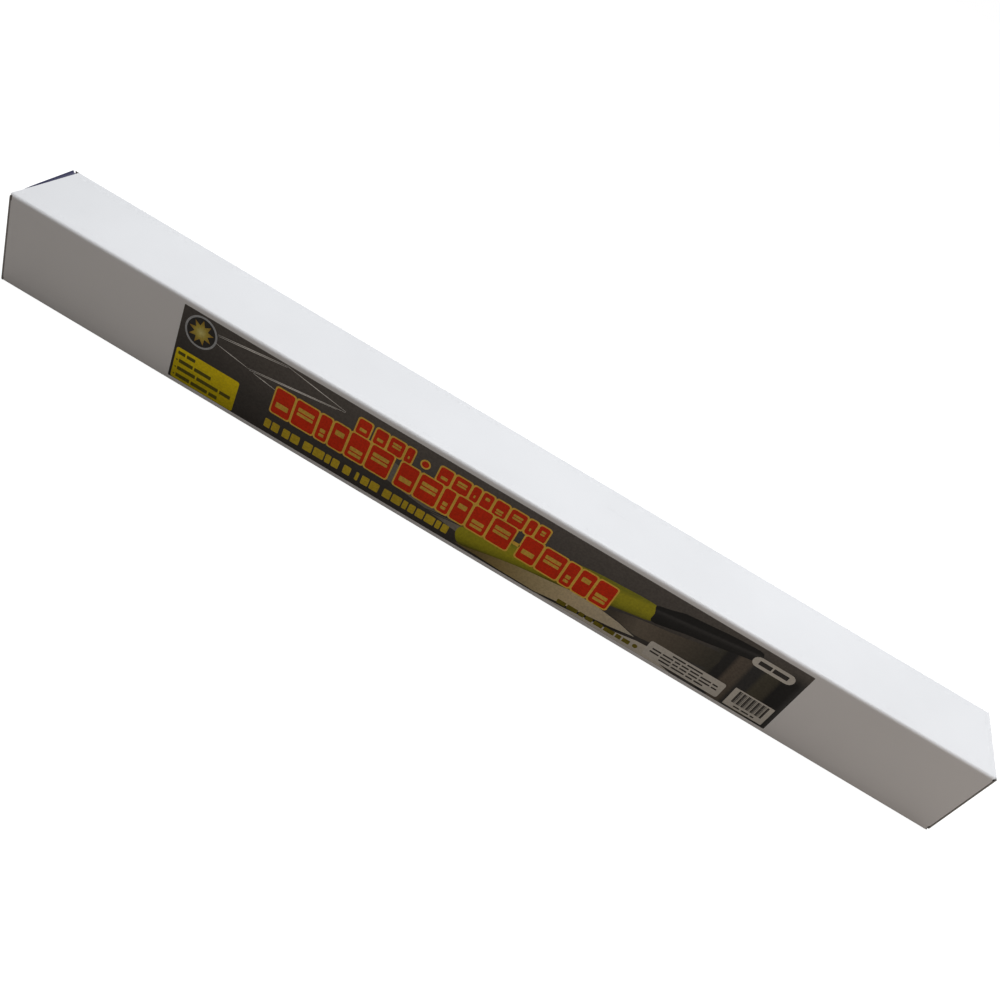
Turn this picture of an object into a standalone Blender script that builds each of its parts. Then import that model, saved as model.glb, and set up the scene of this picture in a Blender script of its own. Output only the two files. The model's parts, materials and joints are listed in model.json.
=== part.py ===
"""Boxed traffic baton light: a hand-held signal baton lying in its white reverse-tuck carton.

Frame: metres, +Z up, origin under the middle of the closed carton, at its lowest face.
+X runs along the carton to the end whose lid hangs from the top panel, -Y is the labelled front.
"""

import math

import bmesh
import bpy
from mathutils import Vector

MM = 0.001

# Carton, outside sizes
CARTON_LENGTH = 610 * MM
CARTON_DEPTH = 51.5 * MM
CARTON_HEIGHT = 56 * MM
BOARD = 0.6 * MM
GAP = 0.3 * MM
FOLD = BOARD + GAP
GLUE_FLAP_WIDTH = 13 * MM
GLUE_FLAP_INSET = 6 * MM
LID_REACH = CARTON_HEIGHT - FOLD
TUCK_LENGTH = 13 * MM
TUCK_START = 1.2 * MM
TUCK_HALF_WIDTH = 24.3 * MM
TUCK_TAPER = 1.0 * MM
TUCK_CORNER = 6 * MM
TUCK_SLOPE = math.radians(11)
DUST_FLAP_REACH = 22 * MM
DUST_FLAP_LEAD = 2.0 * MM
DUST_FLAP_FOOT = 4.0 * MM
DUST_FLAP_CORNER = 3 * MM

# Label on the front panel: its left edge, its lower edge, its size
LABEL_X = -194.3 * MM
LABEL_Z = 3.1 * MM
LABEL_LENGTH = 390.8 * MM
LABEL_HEIGHT = 49.2 * MM
LABEL_THICKNESS = 0.15 * MM
LABEL_GAP = 0.05 * MM

# Baton: stations run along its axis from the tail end; radii are from that axis
BATON_LENGTH = 571.5 * MM
TUBE_RADIUS = 19.05 * MM
TUBE_WALL = 1.6 * MM
TAIL_CLEARANCE = 7.5 * MM
BATON_TAIL_X = -CARTON_LENGTH / 2 + FOLD + BOARD + TAIL_CLEARANCE
BATON_AXIS_Z = BOARD + GAP + TUBE_RADIUS
ROUND_STEPS = 48

CAP_START = 9 * MM
CAP_END = 36 * MM
CAP_RADIUS = 17.8 * MM
CAP_BORE = 15.6 * MM
CAP_FLOOR = 3 * MM
CAP_EDGE = 3 * MM
LUG_HALF_WIDTH = 5.4 * MM
LUG_HALF_THICKNESS = 2.2 * MM
LUG_HOLE = 3.0 * MM

NECK_RADIUS = 15.2 * MM
HANDLE_START = 20 * MM
HANDLE_SHOULDER = 38.2 * MM
HANDLE_HEAD = 176 * MM
HANDLE_END = 190 * MM
HANDLE_RADIUS = 16.2 * MM
BAY_RADIUS = 14.0 * MM
BAY_END = 143 * MM
HEAD_BORE = 12.6 * MM

SEAL_STATION = 37.1 * MM
SEAL_RADIUS = 16.3 * MM
SEAL_WIRE = 0.8 * MM

SPRING_START = 13.9 * MM
SPRING_END = 37 * MM
SPRING_BASE = 9.0 * MM
SPRING_TIP = 5.0 * MM
SPRING_WIRE = 0.6 * MM
SPRING_TURNS = 6

BOSS_START = 141 * MM
BOSS_LENGTH = 35 * MM
BOSS_HALF_WIDTH = 8 * MM
BOSS_TOP = 16.9 * MM
PLATE_THICKNESS = 1.5 * MM
PLATE_Z = BOSS_TOP + GAP
SLIDER_STATION = 153 * MM
SLIDER_TRAVEL = 5 * MM
BUTTON_STATION = 168.8 * MM
SCREW_STATIONS = {"rear_screw": 143.2 * MM, "front_screw": 174.0 * MM}
BUTTON_RADIUS = 3.4 * MM

COLLAR_START = 176.4 * MM
COLLAR_END = 198 * MM
COLLAR_RADIUS = 18.4 * MM
COLLAR_LIP = 15.2 * MM
FLANGE_START = 190.4 * MM
FLANGE_END = 193 * MM
FLANGE_RADIUS = 16.2 * MM
TUBE_NECK = 14.8 * MM
TAPER_START = 203 * MM
TAPER_END = 255 * MM

BOARD_START = 188 * MM
BOARD_END = 541 * MM
BOARD_HALF_WIDTH = 6 * MM
BOARD_Z = -4.0 * MM
BOARD_THICKNESS = 1.6 * MM
BOARD_TOP = BOARD_Z + BOARD_THICKNESS
HOLDER_RADIUS = 17.0 * MM
HOLDER_HALF = 1.5 * MM
HOLDER_STATIONS = {"middle_holder": 378 * MM, "front_holder": 536 * MM}
LED_COUNT = 6
LED_FIRST = 233 * MM
LED_PITCH = 58 * MM
LED_RADIUS = 2.5 * MM
LED_HEIGHT = 8.6 * MM


# ---------------------------------------------------------------- helpers

def clear_scene():
    for thing in list(bpy.data.objects):
        bpy.data.objects.remove(thing, do_unlink=True)


def paint(name, color, roughness, metallic=0.0, alpha=1.0):
    """A Principled material, made once for each name."""
    made = bpy.data.materials.get(name)
    if made:
        return made
    made = bpy.data.materials.new(name)
    made.use_nodes = True
    shader = made.node_tree.nodes["Principled BSDF"]
    shader.inputs["Base Color"].default_value = (*color, 1.0)
    shader.inputs["Roughness"].default_value = roughness
    shader.inputs["Metallic"].default_value = metallic
    shader.inputs["Alpha"].default_value = alpha
    return made


def white_board():
    return paint("white_board", (0.86, 0.87, 0.88), 0.45)


def black_plastic():
    return paint("black_plastic", (0.015, 0.015, 0.017), 0.42)


def steel():
    return paint("spring_steel", (0.62, 0.62, 0.60), 0.28, 1.0)


def brass():
    return paint("contact_brass", (0.80, 0.60, 0.28), 0.3, 1.0)


def frame_empty(name, location, turn_y=0.0):
    empty = bpy.data.objects.new(name, None)
    empty.location = location
    empty.rotation_euler = (0.0, turn_y, 0.0)
    bpy.context.scene.collection.objects.link(empty)
    return empty


def place(name, data, material, parent=None, location=(0, 0, 0), rotation=(0, 0, 0)):
    """Puts a mesh or a curve in the scene as the named piece."""
    piece = bpy.data.objects.new(name, data)
    if not data.materials:
        data.materials.append(material)
    piece.parent = parent
    piece.location = location
    piece.rotation_euler = rotation
    bpy.context.scene.collection.objects.link(piece)
    return piece


def finish_mesh(bm, name, smooth=False):
    bmesh.ops.recalc_face_normals(bm, faces=bm.faces)
    mesh = bpy.data.meshes.new(name)
    bm.to_mesh(mesh)
    bm.free()
    if smooth:
        mesh.shade_smooth()
        mesh.set_sharp_from_angle(angle=math.radians(35))
    return mesh


def add_prism(bm, outline, axis, start, stop):
    """Extrudes a closed outline along axis 0, 1 or 2; its points are the other two coordinates in order."""
    def corner(point, level):
        values = list(point)
        values.insert(axis, level)
        return bm.verts.new(values)
    base = bm.faces.new([corner(point, start) for point in outline])
    grown = bmesh.ops.extrude_face_region(bm, geom=[base])
    moved = [item for item in grown["geom"] if isinstance(item, bmesh.types.BMVert)]
    shift = [0.0, 0.0, 0.0]
    shift[axis] = stop - start
    bmesh.ops.translate(bm, verts=moved, vec=shift)


def prism(name, outline, axis, start, stop, smooth=False):
    bm = bmesh.new()
    add_prism(bm, outline, axis, start, stop)
    return finish_mesh(bm, name, smooth)


def rectangle(low, high):
    return [(low[0], low[1]), (high[0], low[1]), (high[0], high[1]), (low[0], high[1])]


def block(name, low, high):
    """A box from its lowest to its highest corner."""
    return prism(name, rectangle(low[:2], high[:2]), 2, low[2], high[2])


def arc(centre, radius, first, last, steps):
    """Points on an arc, with angles in degrees."""
    angles = [math.radians(first + (last - first) * i / steps) for i in range(steps + 1)]
    return [(centre[0] + radius * math.cos(a), centre[1] + radius * math.sin(a)) for a in angles]


def rounded_rectangle(centre, half, radius, steps=5):
    points = []
    for quarter, (sx, sy) in enumerate([(1, 1), (-1, 1), (-1, -1), (1, -1)]):
        middle = (centre[0] + sx * (half[0] - radius), centre[1] + sy * (half[1] - radius))
        points += arc(middle, radius, 90 * quarter, 90 * quarter + 90, steps)
    return points


def add_turned(bm, profile, steps=ROUND_STEPS):
    """Spins a closed profile of (station, radius) points round the X axis."""
    ring = [bm.verts.new((station, 0.0, radius)) for station, radius in profile]
    edges = []
    for first, second in zip(ring, ring[1:] + ring[:1]):
        if first.co.z > 1e-9 or second.co.z > 1e-9:
            edges.append(bm.edges.new((first, second)))
    bmesh.ops.spin(bm, geom=ring + edges, cent=(0, 0, 0), axis=(1, 0, 0),
                   angle=2 * math.pi, steps=steps, use_duplicate=False)
    bmesh.ops.remove_doubles(bm, verts=bm.verts, dist=1e-6)


def turned(name, profile, steps=ROUND_STEPS):
    bm = bmesh.new()
    add_turned(bm, profile, steps)
    return finish_mesh(bm, name, smooth=True)


def combine(piece, other, operation):
    """Joins or cuts piece with other, and hides other from the build."""
    step = piece.modifiers.new(operation.lower() + "_" + other.name, "BOOLEAN")
    step.operation = operation
    step.solver = "EXACT"
    step.object = other
    other.hide_render = True
    other.display_type = "WIRE"


def soften(piece, width, segments=2):
    bevel = piece.modifiers.new("edge", "BEVEL")
    bevel.width = width
    bevel.segments = segments
    bevel.limit_method = "ANGLE"


def tube_curve(name, points, radius, resolution):
    """A round wire along its points, closed at both ends."""
    curve = bpy.data.curves.new(name, "CURVE")
    curve.dimensions = "3D"
    curve.bevel_depth = radius
    curve.bevel_resolution = resolution
    curve.use_fill_caps = True
    spline = curve.splines.new("POLY")
    spline.points.add(len(points) - 1)
    for knot, point in zip(spline.points, points):
        knot.co = (*point, 1.0)
    return curve


# ---------------------------------------------------------------- carton

def build_sleeve():
    """The four walls of the carton and the glue flap inside its back wall."""
    half_x, half_y = CARTON_LENGTH / 2, CARTON_DEPTH / 2
    side_x = half_x - FOLD
    walls = {
        "bottom_panel": ((-half_x, -half_y, 0), (half_x, half_y, BOARD)),
        "top_panel": ((-half_x, -half_y, CARTON_HEIGHT - BOARD), (half_x, half_y, CARTON_HEIGHT)),
        "front_panel": ((-side_x, -half_y, FOLD), (side_x, BOARD - half_y, CARTON_HEIGHT - FOLD)),
        "back_panel": ((-side_x, half_y - BOARD, FOLD), (side_x, half_y, CARTON_HEIGHT - FOLD)),
    }
    for name, (low, high) in walls.items():
        place(name, block(name, low, high), white_board())
    flap_x = side_x - GLUE_FLAP_INSET
    inner = half_y - BOARD - GAP
    outline = [(-flap_x, FOLD), (flap_x, FOLD),
               (flap_x - GLUE_FLAP_INSET, FOLD + GLUE_FLAP_WIDTH),
               (GLUE_FLAP_INSET - flap_x, FOLD + GLUE_FLAP_WIDTH)]
    place("glue_flap", prism("glue_flap", outline, 1, inner - BOARD, inner), white_board())


def lid_mesh():
    half_y = CARTON_DEPTH / 2 - GAP
    return block("lid", (-BOARD, -half_y, -LID_REACH), (0, half_y, -FOLD))


def tuck_mesh():
    """The tongue, in its own frame: its crease is the Y axis and it runs along -X."""
    narrow = TUCK_HALF_WIDTH - TUCK_TAPER
    back = -TUCK_LENGTH
    outline = [(-TUCK_START, -TUCK_HALF_WIDTH), (-TUCK_START, TUCK_HALF_WIDTH)]
    outline += arc((back + TUCK_CORNER, narrow - TUCK_CORNER), TUCK_CORNER, 90, 180, 5)
    outline += arc((back + TUCK_CORNER, TUCK_CORNER - narrow), TUCK_CORNER, 180, 270, 5)
    return prism("tuck", outline, 2, 0, BOARD)


def dust_flap_mesh(side):
    """A side flap, in its own frame: its crease is the Z axis and it runs to +Y for side 1, to -Y for side -1.

    The edge next to the lid's crease slopes at 45 degrees, so that lid and flap swing out together.
    """
    far, foot = DUST_FLAP_REACH, DUST_FLAP_FOOT - CARTON_HEIGHT
    corner = DUST_FLAP_CORNER
    outline = [(FOLD, foot), (FOLD, -FOLD - DUST_FLAP_LEAD), (far, -far - DUST_FLAP_LEAD)]
    outline += arc((far - corner, foot + corner), corner, 0, -90, 4)
    return prism("dust_flap", [(side * y, z) for y, z in outline], 0, -BOARD, 0)


def build_end(side, frame, lid, tuck, front_flap, back_flap):
    """Lid, tuck and two dust flaps; frame sits on the lid's crease with +X pointing out of the carton."""
    hinge_y = CARTON_DEPTH / 2
    cover = place(side + "_lid", lid, white_board(), frame)
    place(side + "_tuck", tuck, white_board(), cover, (0, 0, -LID_REACH), (0, TUCK_SLOPE, 0))
    place(side + "_front_dust_flap", front_flap, white_board(), frame, (-FOLD, -hinge_y, 0))
    place(side + "_back_dust_flap", back_flap, white_board(), frame, (-FOLD, hinge_y, 0))


def build_label():
    front = -CARTON_DEPTH / 2 - LABEL_GAP
    low = (LABEL_X, front - LABEL_THICKNESS, LABEL_Z)
    high = (LABEL_X + LABEL_LENGTH, front, LABEL_Z + LABEL_HEIGHT)
    place("label", block("label", low, high), paint("label_print", (0.05, 0.05, 0.047), 0.35))


def build_carton():
    build_sleeve()
    build_label()
    flaps = (lid_mesh(), tuck_mesh(), dust_flap_mesh(1), dust_flap_mesh(-1))
    right = frame_empty("right_end_frame", (CARTON_LENGTH / 2, 0, CARTON_HEIGHT))
    left = frame_empty("left_end_frame", (-CARTON_LENGTH / 2, 0, 0), math.pi)
    build_end("right", right, *flaps)
    build_end("left", left, *flaps)


# ---------------------------------------------------------------- baton, tail end

def build_tail_cap(baton):
    """Screw-on battery cap with a drilled lug for a wrist cord."""
    profile = [(CAP_START, 0.0)]
    profile += arc((CAP_START + CAP_EDGE, CAP_RADIUS - CAP_EDGE), CAP_EDGE, 180, 90, 5)
    profile += [(CAP_END, CAP_RADIUS), (CAP_END, CAP_BORE), (CAP_START + CAP_FLOOR, CAP_BORE),
                (CAP_START + CAP_FLOOR, 0.0)]
    cap = place("tail_cap", turned("tail_cap", profile), black_plastic(), baton)
    radius = LUG_HALF_WIDTH
    outline = arc((radius, 0), radius, 90, 270, 12) + [(CAP_START + 1 * MM, -radius), (CAP_START + 1 * MM, radius)]
    lug = place("lug_form", prism("lug_form", outline, 2, -LUG_HALF_THICKNESS, LUG_HALF_THICKNESS),
                black_plastic(), baton)
    hole_outline = arc((radius, 0), LUG_HOLE, 0, 345, 23)
    hole = place("lug_hole", prism("lug_hole", hole_outline, 2, -2 * LUG_HALF_THICKNESS, 2 * LUG_HALF_THICKNESS),
                 black_plastic(), baton)
    combine(cap, lug, "UNION")
    combine(cap, hole, "DIFFERENCE")


def build_tail_contact(baton):
    """Contact plate on the cap's floor, and the conical spring that presses on the battery."""
    start = CAP_START + CAP_FLOOR + GAP
    profile = [(start, 0.0), (start, 10.5 * MM), (start + 0.7 * MM, 10.5 * MM), (start + 0.7 * MM, 0.0)]
    place("contact_plate", turned("contact_plate", profile, 32), steel(), baton)
    points = []
    steps = SPRING_TURNS * 14
    for i in range(steps + 1):
        share = i / steps
        angle = 2 * math.pi * SPRING_TURNS * share
        radius = SPRING_BASE + (SPRING_TIP - SPRING_BASE) * share
        station = SPRING_START + (SPRING_END - SPRING_START) * share
        points.append((station, radius * math.cos(angle), radius * math.sin(angle)))
    place("tail_spring", tube_curve("tail_spring", points, SPRING_WIRE, 1), steel(), baton)


def build_seal(baton):
    ring = arc((SEAL_STATION, SEAL_RADIUS), SEAL_WIRE, 0, 330, 11)
    place("seal_ring", turned("seal_ring", ring, 40), paint("seal_rubber", (0.02, 0.02, 0.02), 0.7), baton)


# ---------------------------------------------------------------- baton, handle

def build_handle(baton):
    """Battery tube with a raised pad for the switch, open at both ends."""
    profile = [(HANDLE_START, NECK_RADIUS), (HANDLE_SHOULDER, NECK_RADIUS),
               (HANDLE_SHOULDER, HANDLE_RADIUS), (HANDLE_HEAD, HANDLE_RADIUS),
               (HANDLE_HEAD, NECK_RADIUS), (HANDLE_END, NECK_RADIUS)]
    outer = [(HANDLE_START, 0.0)] + profile + [(HANDLE_END, 0.0)]
    handle = place("handle", turned("handle", outer), black_plastic(), baton)
    middle = BOSS_START + BOSS_LENGTH / 2
    pad_outline = rounded_rectangle((middle, 0), (BOSS_LENGTH / 2, BOSS_HALF_WIDTH), 4 * MM)
    pad = place("pad_form", prism("pad_form", pad_outline, 2, 8 * MM, BOSS_TOP), black_plastic(), baton)
    over = 2 * MM
    bore_profile = [(HANDLE_START - over, 0.0), (HANDLE_START - over, BAY_RADIUS), (BAY_END, BAY_RADIUS),
                    (BAY_END, HEAD_BORE), (HANDLE_END + over, HEAD_BORE), (HANDLE_END + over, 0.0)]
    bore = place("bore_form", turned("bore_form", bore_profile), black_plastic(), baton)
    well_outline = rectangle((150 * MM, -3.8 * MM), (172.8 * MM, 3.8 * MM))
    well = place("well_form", prism("well_form", well_outline, 2, 9 * MM, BOSS_TOP + over), black_plastic(), baton)
    combine(handle, pad, "UNION")
    combine(handle, bore, "DIFFERENCE")
    combine(handle, well, "DIFFERENCE")


def build_battery_bay(baton):
    """Bulkhead, positive contact and the strip that carries the tail contact's current forward."""
    start = 139 * MM
    bulkhead = [(start, 0.0), (start, 13.5 * MM), (start + 3.4 * MM, 13.5 * MM), (start + 3.4 * MM, 0.0)]
    grey = paint("grey_plastic", (0.35, 0.35, 0.36), 0.5)
    place("bulkhead", turned("bulkhead", bulkhead, 40), grey, baton)
    face = start - GAP
    dome = [(face, 0.0), (face, 6 * MM), (face - 0.6 * MM, 6 * MM), (face - 0.9 * MM, 3.6 * MM),
            (face - 2.2 * MM, 2.4 * MM), (face - 2.4 * MM, 0.0)]
    place("positive_contact", turned("positive_contact", dome, 24), brass(), baton)
    strip = block("ground_strip", (22 * MM, -1.5 * MM, -13.7 * MM), (138 * MM, 1.5 * MM, -13.3 * MM))
    place("ground_strip", strip, brass(), baton)


def build_switch(baton):
    """Cover plate, sliding switch, flash button, the switch block under them and their screws."""
    middle = BOSS_START + BOSS_LENGTH / 2
    outline = rounded_rectangle((middle, 0), (BOSS_LENGTH / 2 - 0.4 * MM, BOSS_HALF_WIDTH - 0.4 * MM), 3.6 * MM)
    plate_data = prism("switch_plate", outline, 2, PLATE_Z, PLATE_Z + PLATE_THICKNESS)
    plate = place("switch_plate", plate_data, paint("satin_grey", (0.30, 0.30, 0.31), 0.35), baton)
    slot_low = (SLIDER_STATION - 2.9 * MM, -2.4 * MM)
    slot_high = (SLIDER_STATION + SLIDER_TRAVEL + 2.9 * MM, 2.4 * MM)
    slot_data = prism("slot_form", rectangle(slot_low, slot_high), 2, PLATE_Z - MM, PLATE_Z + 3 * MM)
    combine(plate, place("slot_form", slot_data, black_plastic(), baton), "DIFFERENCE")
    port_outline = arc((BUTTON_STATION, 0), BUTTON_RADIUS + 0.4 * MM, 0, 345, 23)
    port_data = prism("port_form", port_outline, 2, PLATE_Z - MM, PLATE_Z + 3 * MM)
    combine(plate, place("port_form", port_data, black_plastic(), baton), "DIFFERENCE")

    cap_low = PLATE_Z + PLATE_THICKNESS + GAP
    cap_data = prism("switch_slider", rounded_rectangle((0, 0), (5.8 * MM, 4.2 * MM), 1.5 * MM, 3),
                     2, cap_low, cap_low + 3.2 * MM)
    slider = place("switch_slider", cap_data, black_plastic(), baton, (SLIDER_STATION, 0, 0))
    stem_data = prism("stem_form", rectangle((-2.4 * MM, -2 * MM), (2.4 * MM, 2 * MM)), 2, 9.6 * MM, cap_low + MM)
    combine(slider, place("stem_form", stem_data, black_plastic(), baton, (SLIDER_STATION, 0, 0)), "UNION")

    button_profile = [(11.2 * MM, 0.0), (11.2 * MM, 2.2 * MM), (15.6 * MM, 2.2 * MM),
                      (15.6 * MM, 2.7 * MM), (16.6 * MM, 2.7 * MM), (16.6 * MM, BUTTON_RADIUS)]
    button_profile += arc((20.2 * MM, BUTTON_RADIUS - MM), MM, 90, 0, 4)
    button_profile += [(21.2 * MM, 0.0)]
    button_mesh = turned("push_button", button_profile, 28)
    red = paint("button_red", (0.62, 0.02, 0.015), 0.38)
    place("push_button", button_mesh, red, baton, (BUTTON_STATION, 0, 0), (0, -math.pi / 2, 0))

    module = block("switch_module", (148.5 * MM, -6 * MM, 3 * MM), (175.5 * MM, 6 * MM, 7.8 * MM))
    place("switch_module", module, paint("blue_plastic", (0.03, 0.09, 0.28), 0.4), baton)
    leaf = block("contact_leaf", (163 * MM, -2.5 * MM, 8.2 * MM), (175 * MM, 2.5 * MM, 8.5 * MM))
    place("contact_leaf", leaf, brass(), baton)

    seat = PLATE_Z + PLATE_THICKNESS + 0.2 * MM
    head = prism("screw_head", arc((0, 0), 1.1 * MM, 0, 330, 11), 2, 0, 0.6 * MM, True)
    for name, station in SCREW_STATIONS.items():
        place(name, head, steel(), baton, (station, 0, seat))


# ---------------------------------------------------------------- baton, light end

def build_collar(baton):
    """Ring nut that clamps the light tube's flange on the end of the handle."""
    profile = [(COLLAR_START, CAP_BORE), (COLLAR_START, COLLAR_RADIUS - MM), (COLLAR_START + MM, COLLAR_RADIUS),
               (COLLAR_END - 2 * MM, COLLAR_RADIUS), (COLLAR_END, COLLAR_RADIUS - 2 * MM),
               (COLLAR_END, COLLAR_LIP), (FLANGE_END + 0.4 * MM, COLLAR_LIP),
               (FLANGE_END + 0.4 * MM, FLANGE_RADIUS + 0.4 * MM), (HANDLE_END, FLANGE_RADIUS + 0.4 * MM),
               (HANDLE_END, CAP_BORE)]
    place("head_collar", turned("head_collar", profile), black_plastic(), baton)


def tube_outline(inset):
    """The light tube's side from neck to tip, moved inwards by inset."""
    radius = TUBE_RADIUS - inset
    centre = (BATON_LENGTH - TUBE_RADIUS, 0.0)
    shoulder = [(TAPER_START, TUBE_NECK - inset)]
    for i in range(1, 6):
        share = i / 5
        blend = share * share * (3 - 2 * share)
        station = TAPER_START + (TAPER_END - TAPER_START) * share
        shoulder.append((station, TUBE_NECK + (TUBE_RADIUS - TUBE_NECK) * blend - inset))
    return shoulder + arc(centre, radius, 90, 0, 9)


def build_tube(baton):
    """Translucent light tube: flange, neck, flared shoulder, straight wall and domed tip."""
    profile = [(FLANGE_START, TUBE_NECK - TUBE_WALL), (FLANGE_START, FLANGE_RADIUS),
               (FLANGE_END, FLANGE_RADIUS), (FLANGE_END, TUBE_NECK)]
    outside, inside = tube_outline(0.0), tube_outline(TUBE_WALL)
    outside[-1] = (outside[-1][0], 0.0)
    inside[-1] = (inside[-1][0], 0.0)
    profile += outside + inside[::-1]
    lime = paint("lime_tube", (0.62, 0.66, 0.02), 0.25, 0.0, 0.6)
    place("light_tube", turned("light_tube", profile), lime, baton)


def holder_bar(name):
    return prism(name, rectangle((-15.8 * MM, -5.6 * MM), (15.8 * MM, -0.8 * MM)), 0, -HOLDER_HALF, HOLDER_HALF)


def board_slot(name, depth):
    low = (-BOARD_HALF_WIDTH - 0.3 * MM, BOARD_Z - 0.3 * MM)
    high = (BOARD_HALF_WIDTH + 0.3 * MM, BOARD_TOP + 0.3 * MM)
    return prism(name, rectangle(low, high), 0, -depth, depth)


def build_holders(baton):
    """Slotted supports that carry the lamp board along the middle of the tube."""
    white = paint("white_plastic", (0.80, 0.80, 0.78), 0.5)
    depth = 3 * HOLDER_HALF
    disc = [(-2 * MM, 0.0), (-2 * MM, 12.7 * MM), (2 * MM, 12.7 * MM), (2 * MM, 0.0)]
    rear = place("rear_holder", turned("rear_holder", disc, 40), white, baton, (197 * MM, 0, 0))
    slot = place("rear_slot", board_slot("rear_slot", depth), white, baton, (197 * MM, 0, 0))
    combine(rear, slot, "DIFFERENCE")
    rim = [(-HOLDER_HALF, 15.2 * MM), (-HOLDER_HALF, HOLDER_RADIUS),
           (HOLDER_HALF, HOLDER_RADIUS), (HOLDER_HALF, 15.2 * MM)]
    for name, station in HOLDER_STATIONS.items():
        holder = place(name, turned(name, rim, 40), white, baton, (station, 0, 0))
        bar = place(name + "_bar", holder_bar(name + "_bar"), white, baton, (station, 0, 0))
        gap = place(name + "_slot", board_slot(name + "_slot", depth), white, baton, (station, 0, 0))
        combine(holder, bar, "UNION")
        combine(holder, gap, "DIFFERENCE")


def build_lamp_board(baton):
    low = (BOARD_START, -BOARD_HALF_WIDTH, BOARD_Z)
    high = (BOARD_END, BOARD_HALF_WIDTH, BOARD_TOP)
    place("lamp_board", block("lamp_board", low, high), paint("board_green", (0.02, 0.14, 0.05), 0.4), baton)
    foot = BOARD_TOP + GAP
    profile = [(0.0, 0.0), (0.0, LED_RADIUS + 0.4 * MM), (MM, LED_RADIUS + 0.4 * MM), (MM, LED_RADIUS)]
    profile += arc((LED_HEIGHT - LED_RADIUS, 0.0), LED_RADIUS, 90, 0, 5)
    profile[-1] = (LED_HEIGHT, 0.0)
    led = turned("led", profile, 20)
    clear = paint("led_clear", (0.80, 0.82, 0.78), 0.1, 0.0, 0.7)
    for i in range(LED_COUNT):
        station = LED_FIRST + LED_PITCH * i
        place(f"led_{i + 1}", led, clear, baton, (station, 0, foot), (0, -math.pi / 2, 0))
    body = [(-3.1 * MM, 0.0), (-3.1 * MM, 1.1 * MM), (3.1 * MM, 1.1 * MM), (3.1 * MM, 0.0)]
    resistor = turned("resistor", body, 12)
    tan = paint("resistor_tan", (0.55, 0.40, 0.24), 0.5)
    for i in range(LED_COUNT):
        station = LED_FIRST + LED_PITCH * i - 14 * MM
        place(f"resistor_{i + 1}", resistor, tan, baton, (station, 0, foot + 1.2 * MM))
    chip_outline = rounded_rectangle((208 * MM, 0), (4 * MM, 3.5 * MM), 1.2 * MM, 3)
    chip = prism("flasher_chip", chip_outline, 2, foot, foot + 1.8 * MM)
    place("flasher_chip", chip, black_plastic(), baton)


def build_wires(baton):
    """Two leads from the switch block to the lamp board, each on one smooth curve."""
    for name, side, color in (("red_lead", 1, (0.6, 0.02, 0.02)), ("black_lead", -1, (0.02, 0.02, 0.02))):
        start = Vector((176.2 * MM, side * 3.4 * MM, 5.4 * MM))
        end = Vector((192.5 * MM, side * 3.4 * MM, BOARD_TOP + MM))
        points = []
        for i in range(11):
            share = i / 10
            drop = share * share * (3 - 2 * share)
            points.append((start.x + (end.x - start.x) * share, start.y, start.z + (end.z - start.z) * drop))
        place(name, tube_curve(name, points, 0.6 * MM, 2), paint(name, color, 0.45), baton)


def build_baton():
    baton = frame_empty("baton_frame", (BATON_TAIL_X, 0, BATON_AXIS_Z))
    build_tail_cap(baton)
    build_tail_contact(baton)
    build_seal(baton)
    build_handle(baton)
    build_battery_bay(baton)
    build_switch(baton)
    build_collar(baton)
    build_tube(baton)
    build_holders(baton)
    build_lamp_board(baton)
    build_wires(baton)


def main():
    clear_scene()
    build_carton()
    build_baton()


main()
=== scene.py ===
"""Looks of the boxed traffic baton: the folded paperboard carton, its printed label and the baton inside."""

import json
import math

import bmesh
import bpy
from mathutils import Matrix, Vector, noise

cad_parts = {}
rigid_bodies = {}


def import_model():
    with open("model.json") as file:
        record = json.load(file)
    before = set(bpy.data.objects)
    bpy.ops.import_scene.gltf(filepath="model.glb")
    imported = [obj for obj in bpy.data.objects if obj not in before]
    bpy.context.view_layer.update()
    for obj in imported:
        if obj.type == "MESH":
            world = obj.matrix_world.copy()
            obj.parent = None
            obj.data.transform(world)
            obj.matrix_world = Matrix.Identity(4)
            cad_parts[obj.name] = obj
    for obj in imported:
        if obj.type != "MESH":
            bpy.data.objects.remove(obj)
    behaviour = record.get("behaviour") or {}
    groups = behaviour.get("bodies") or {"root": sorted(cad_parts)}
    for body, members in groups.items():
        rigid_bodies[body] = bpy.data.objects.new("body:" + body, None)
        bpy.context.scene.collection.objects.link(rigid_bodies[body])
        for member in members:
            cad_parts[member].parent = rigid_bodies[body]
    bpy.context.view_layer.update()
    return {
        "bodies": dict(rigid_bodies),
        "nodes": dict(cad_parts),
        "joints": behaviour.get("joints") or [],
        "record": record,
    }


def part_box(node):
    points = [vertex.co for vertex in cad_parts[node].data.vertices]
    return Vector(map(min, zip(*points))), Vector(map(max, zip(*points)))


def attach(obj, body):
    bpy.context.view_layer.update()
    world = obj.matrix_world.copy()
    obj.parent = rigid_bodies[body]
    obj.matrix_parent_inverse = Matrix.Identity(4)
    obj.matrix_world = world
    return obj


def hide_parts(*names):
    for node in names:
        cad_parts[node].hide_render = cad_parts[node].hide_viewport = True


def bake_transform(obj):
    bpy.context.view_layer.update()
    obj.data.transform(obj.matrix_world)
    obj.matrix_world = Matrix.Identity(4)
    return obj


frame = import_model()

MM = 0.001

# ---------------------------------------------------------------- sizes and places, from the frame

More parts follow.
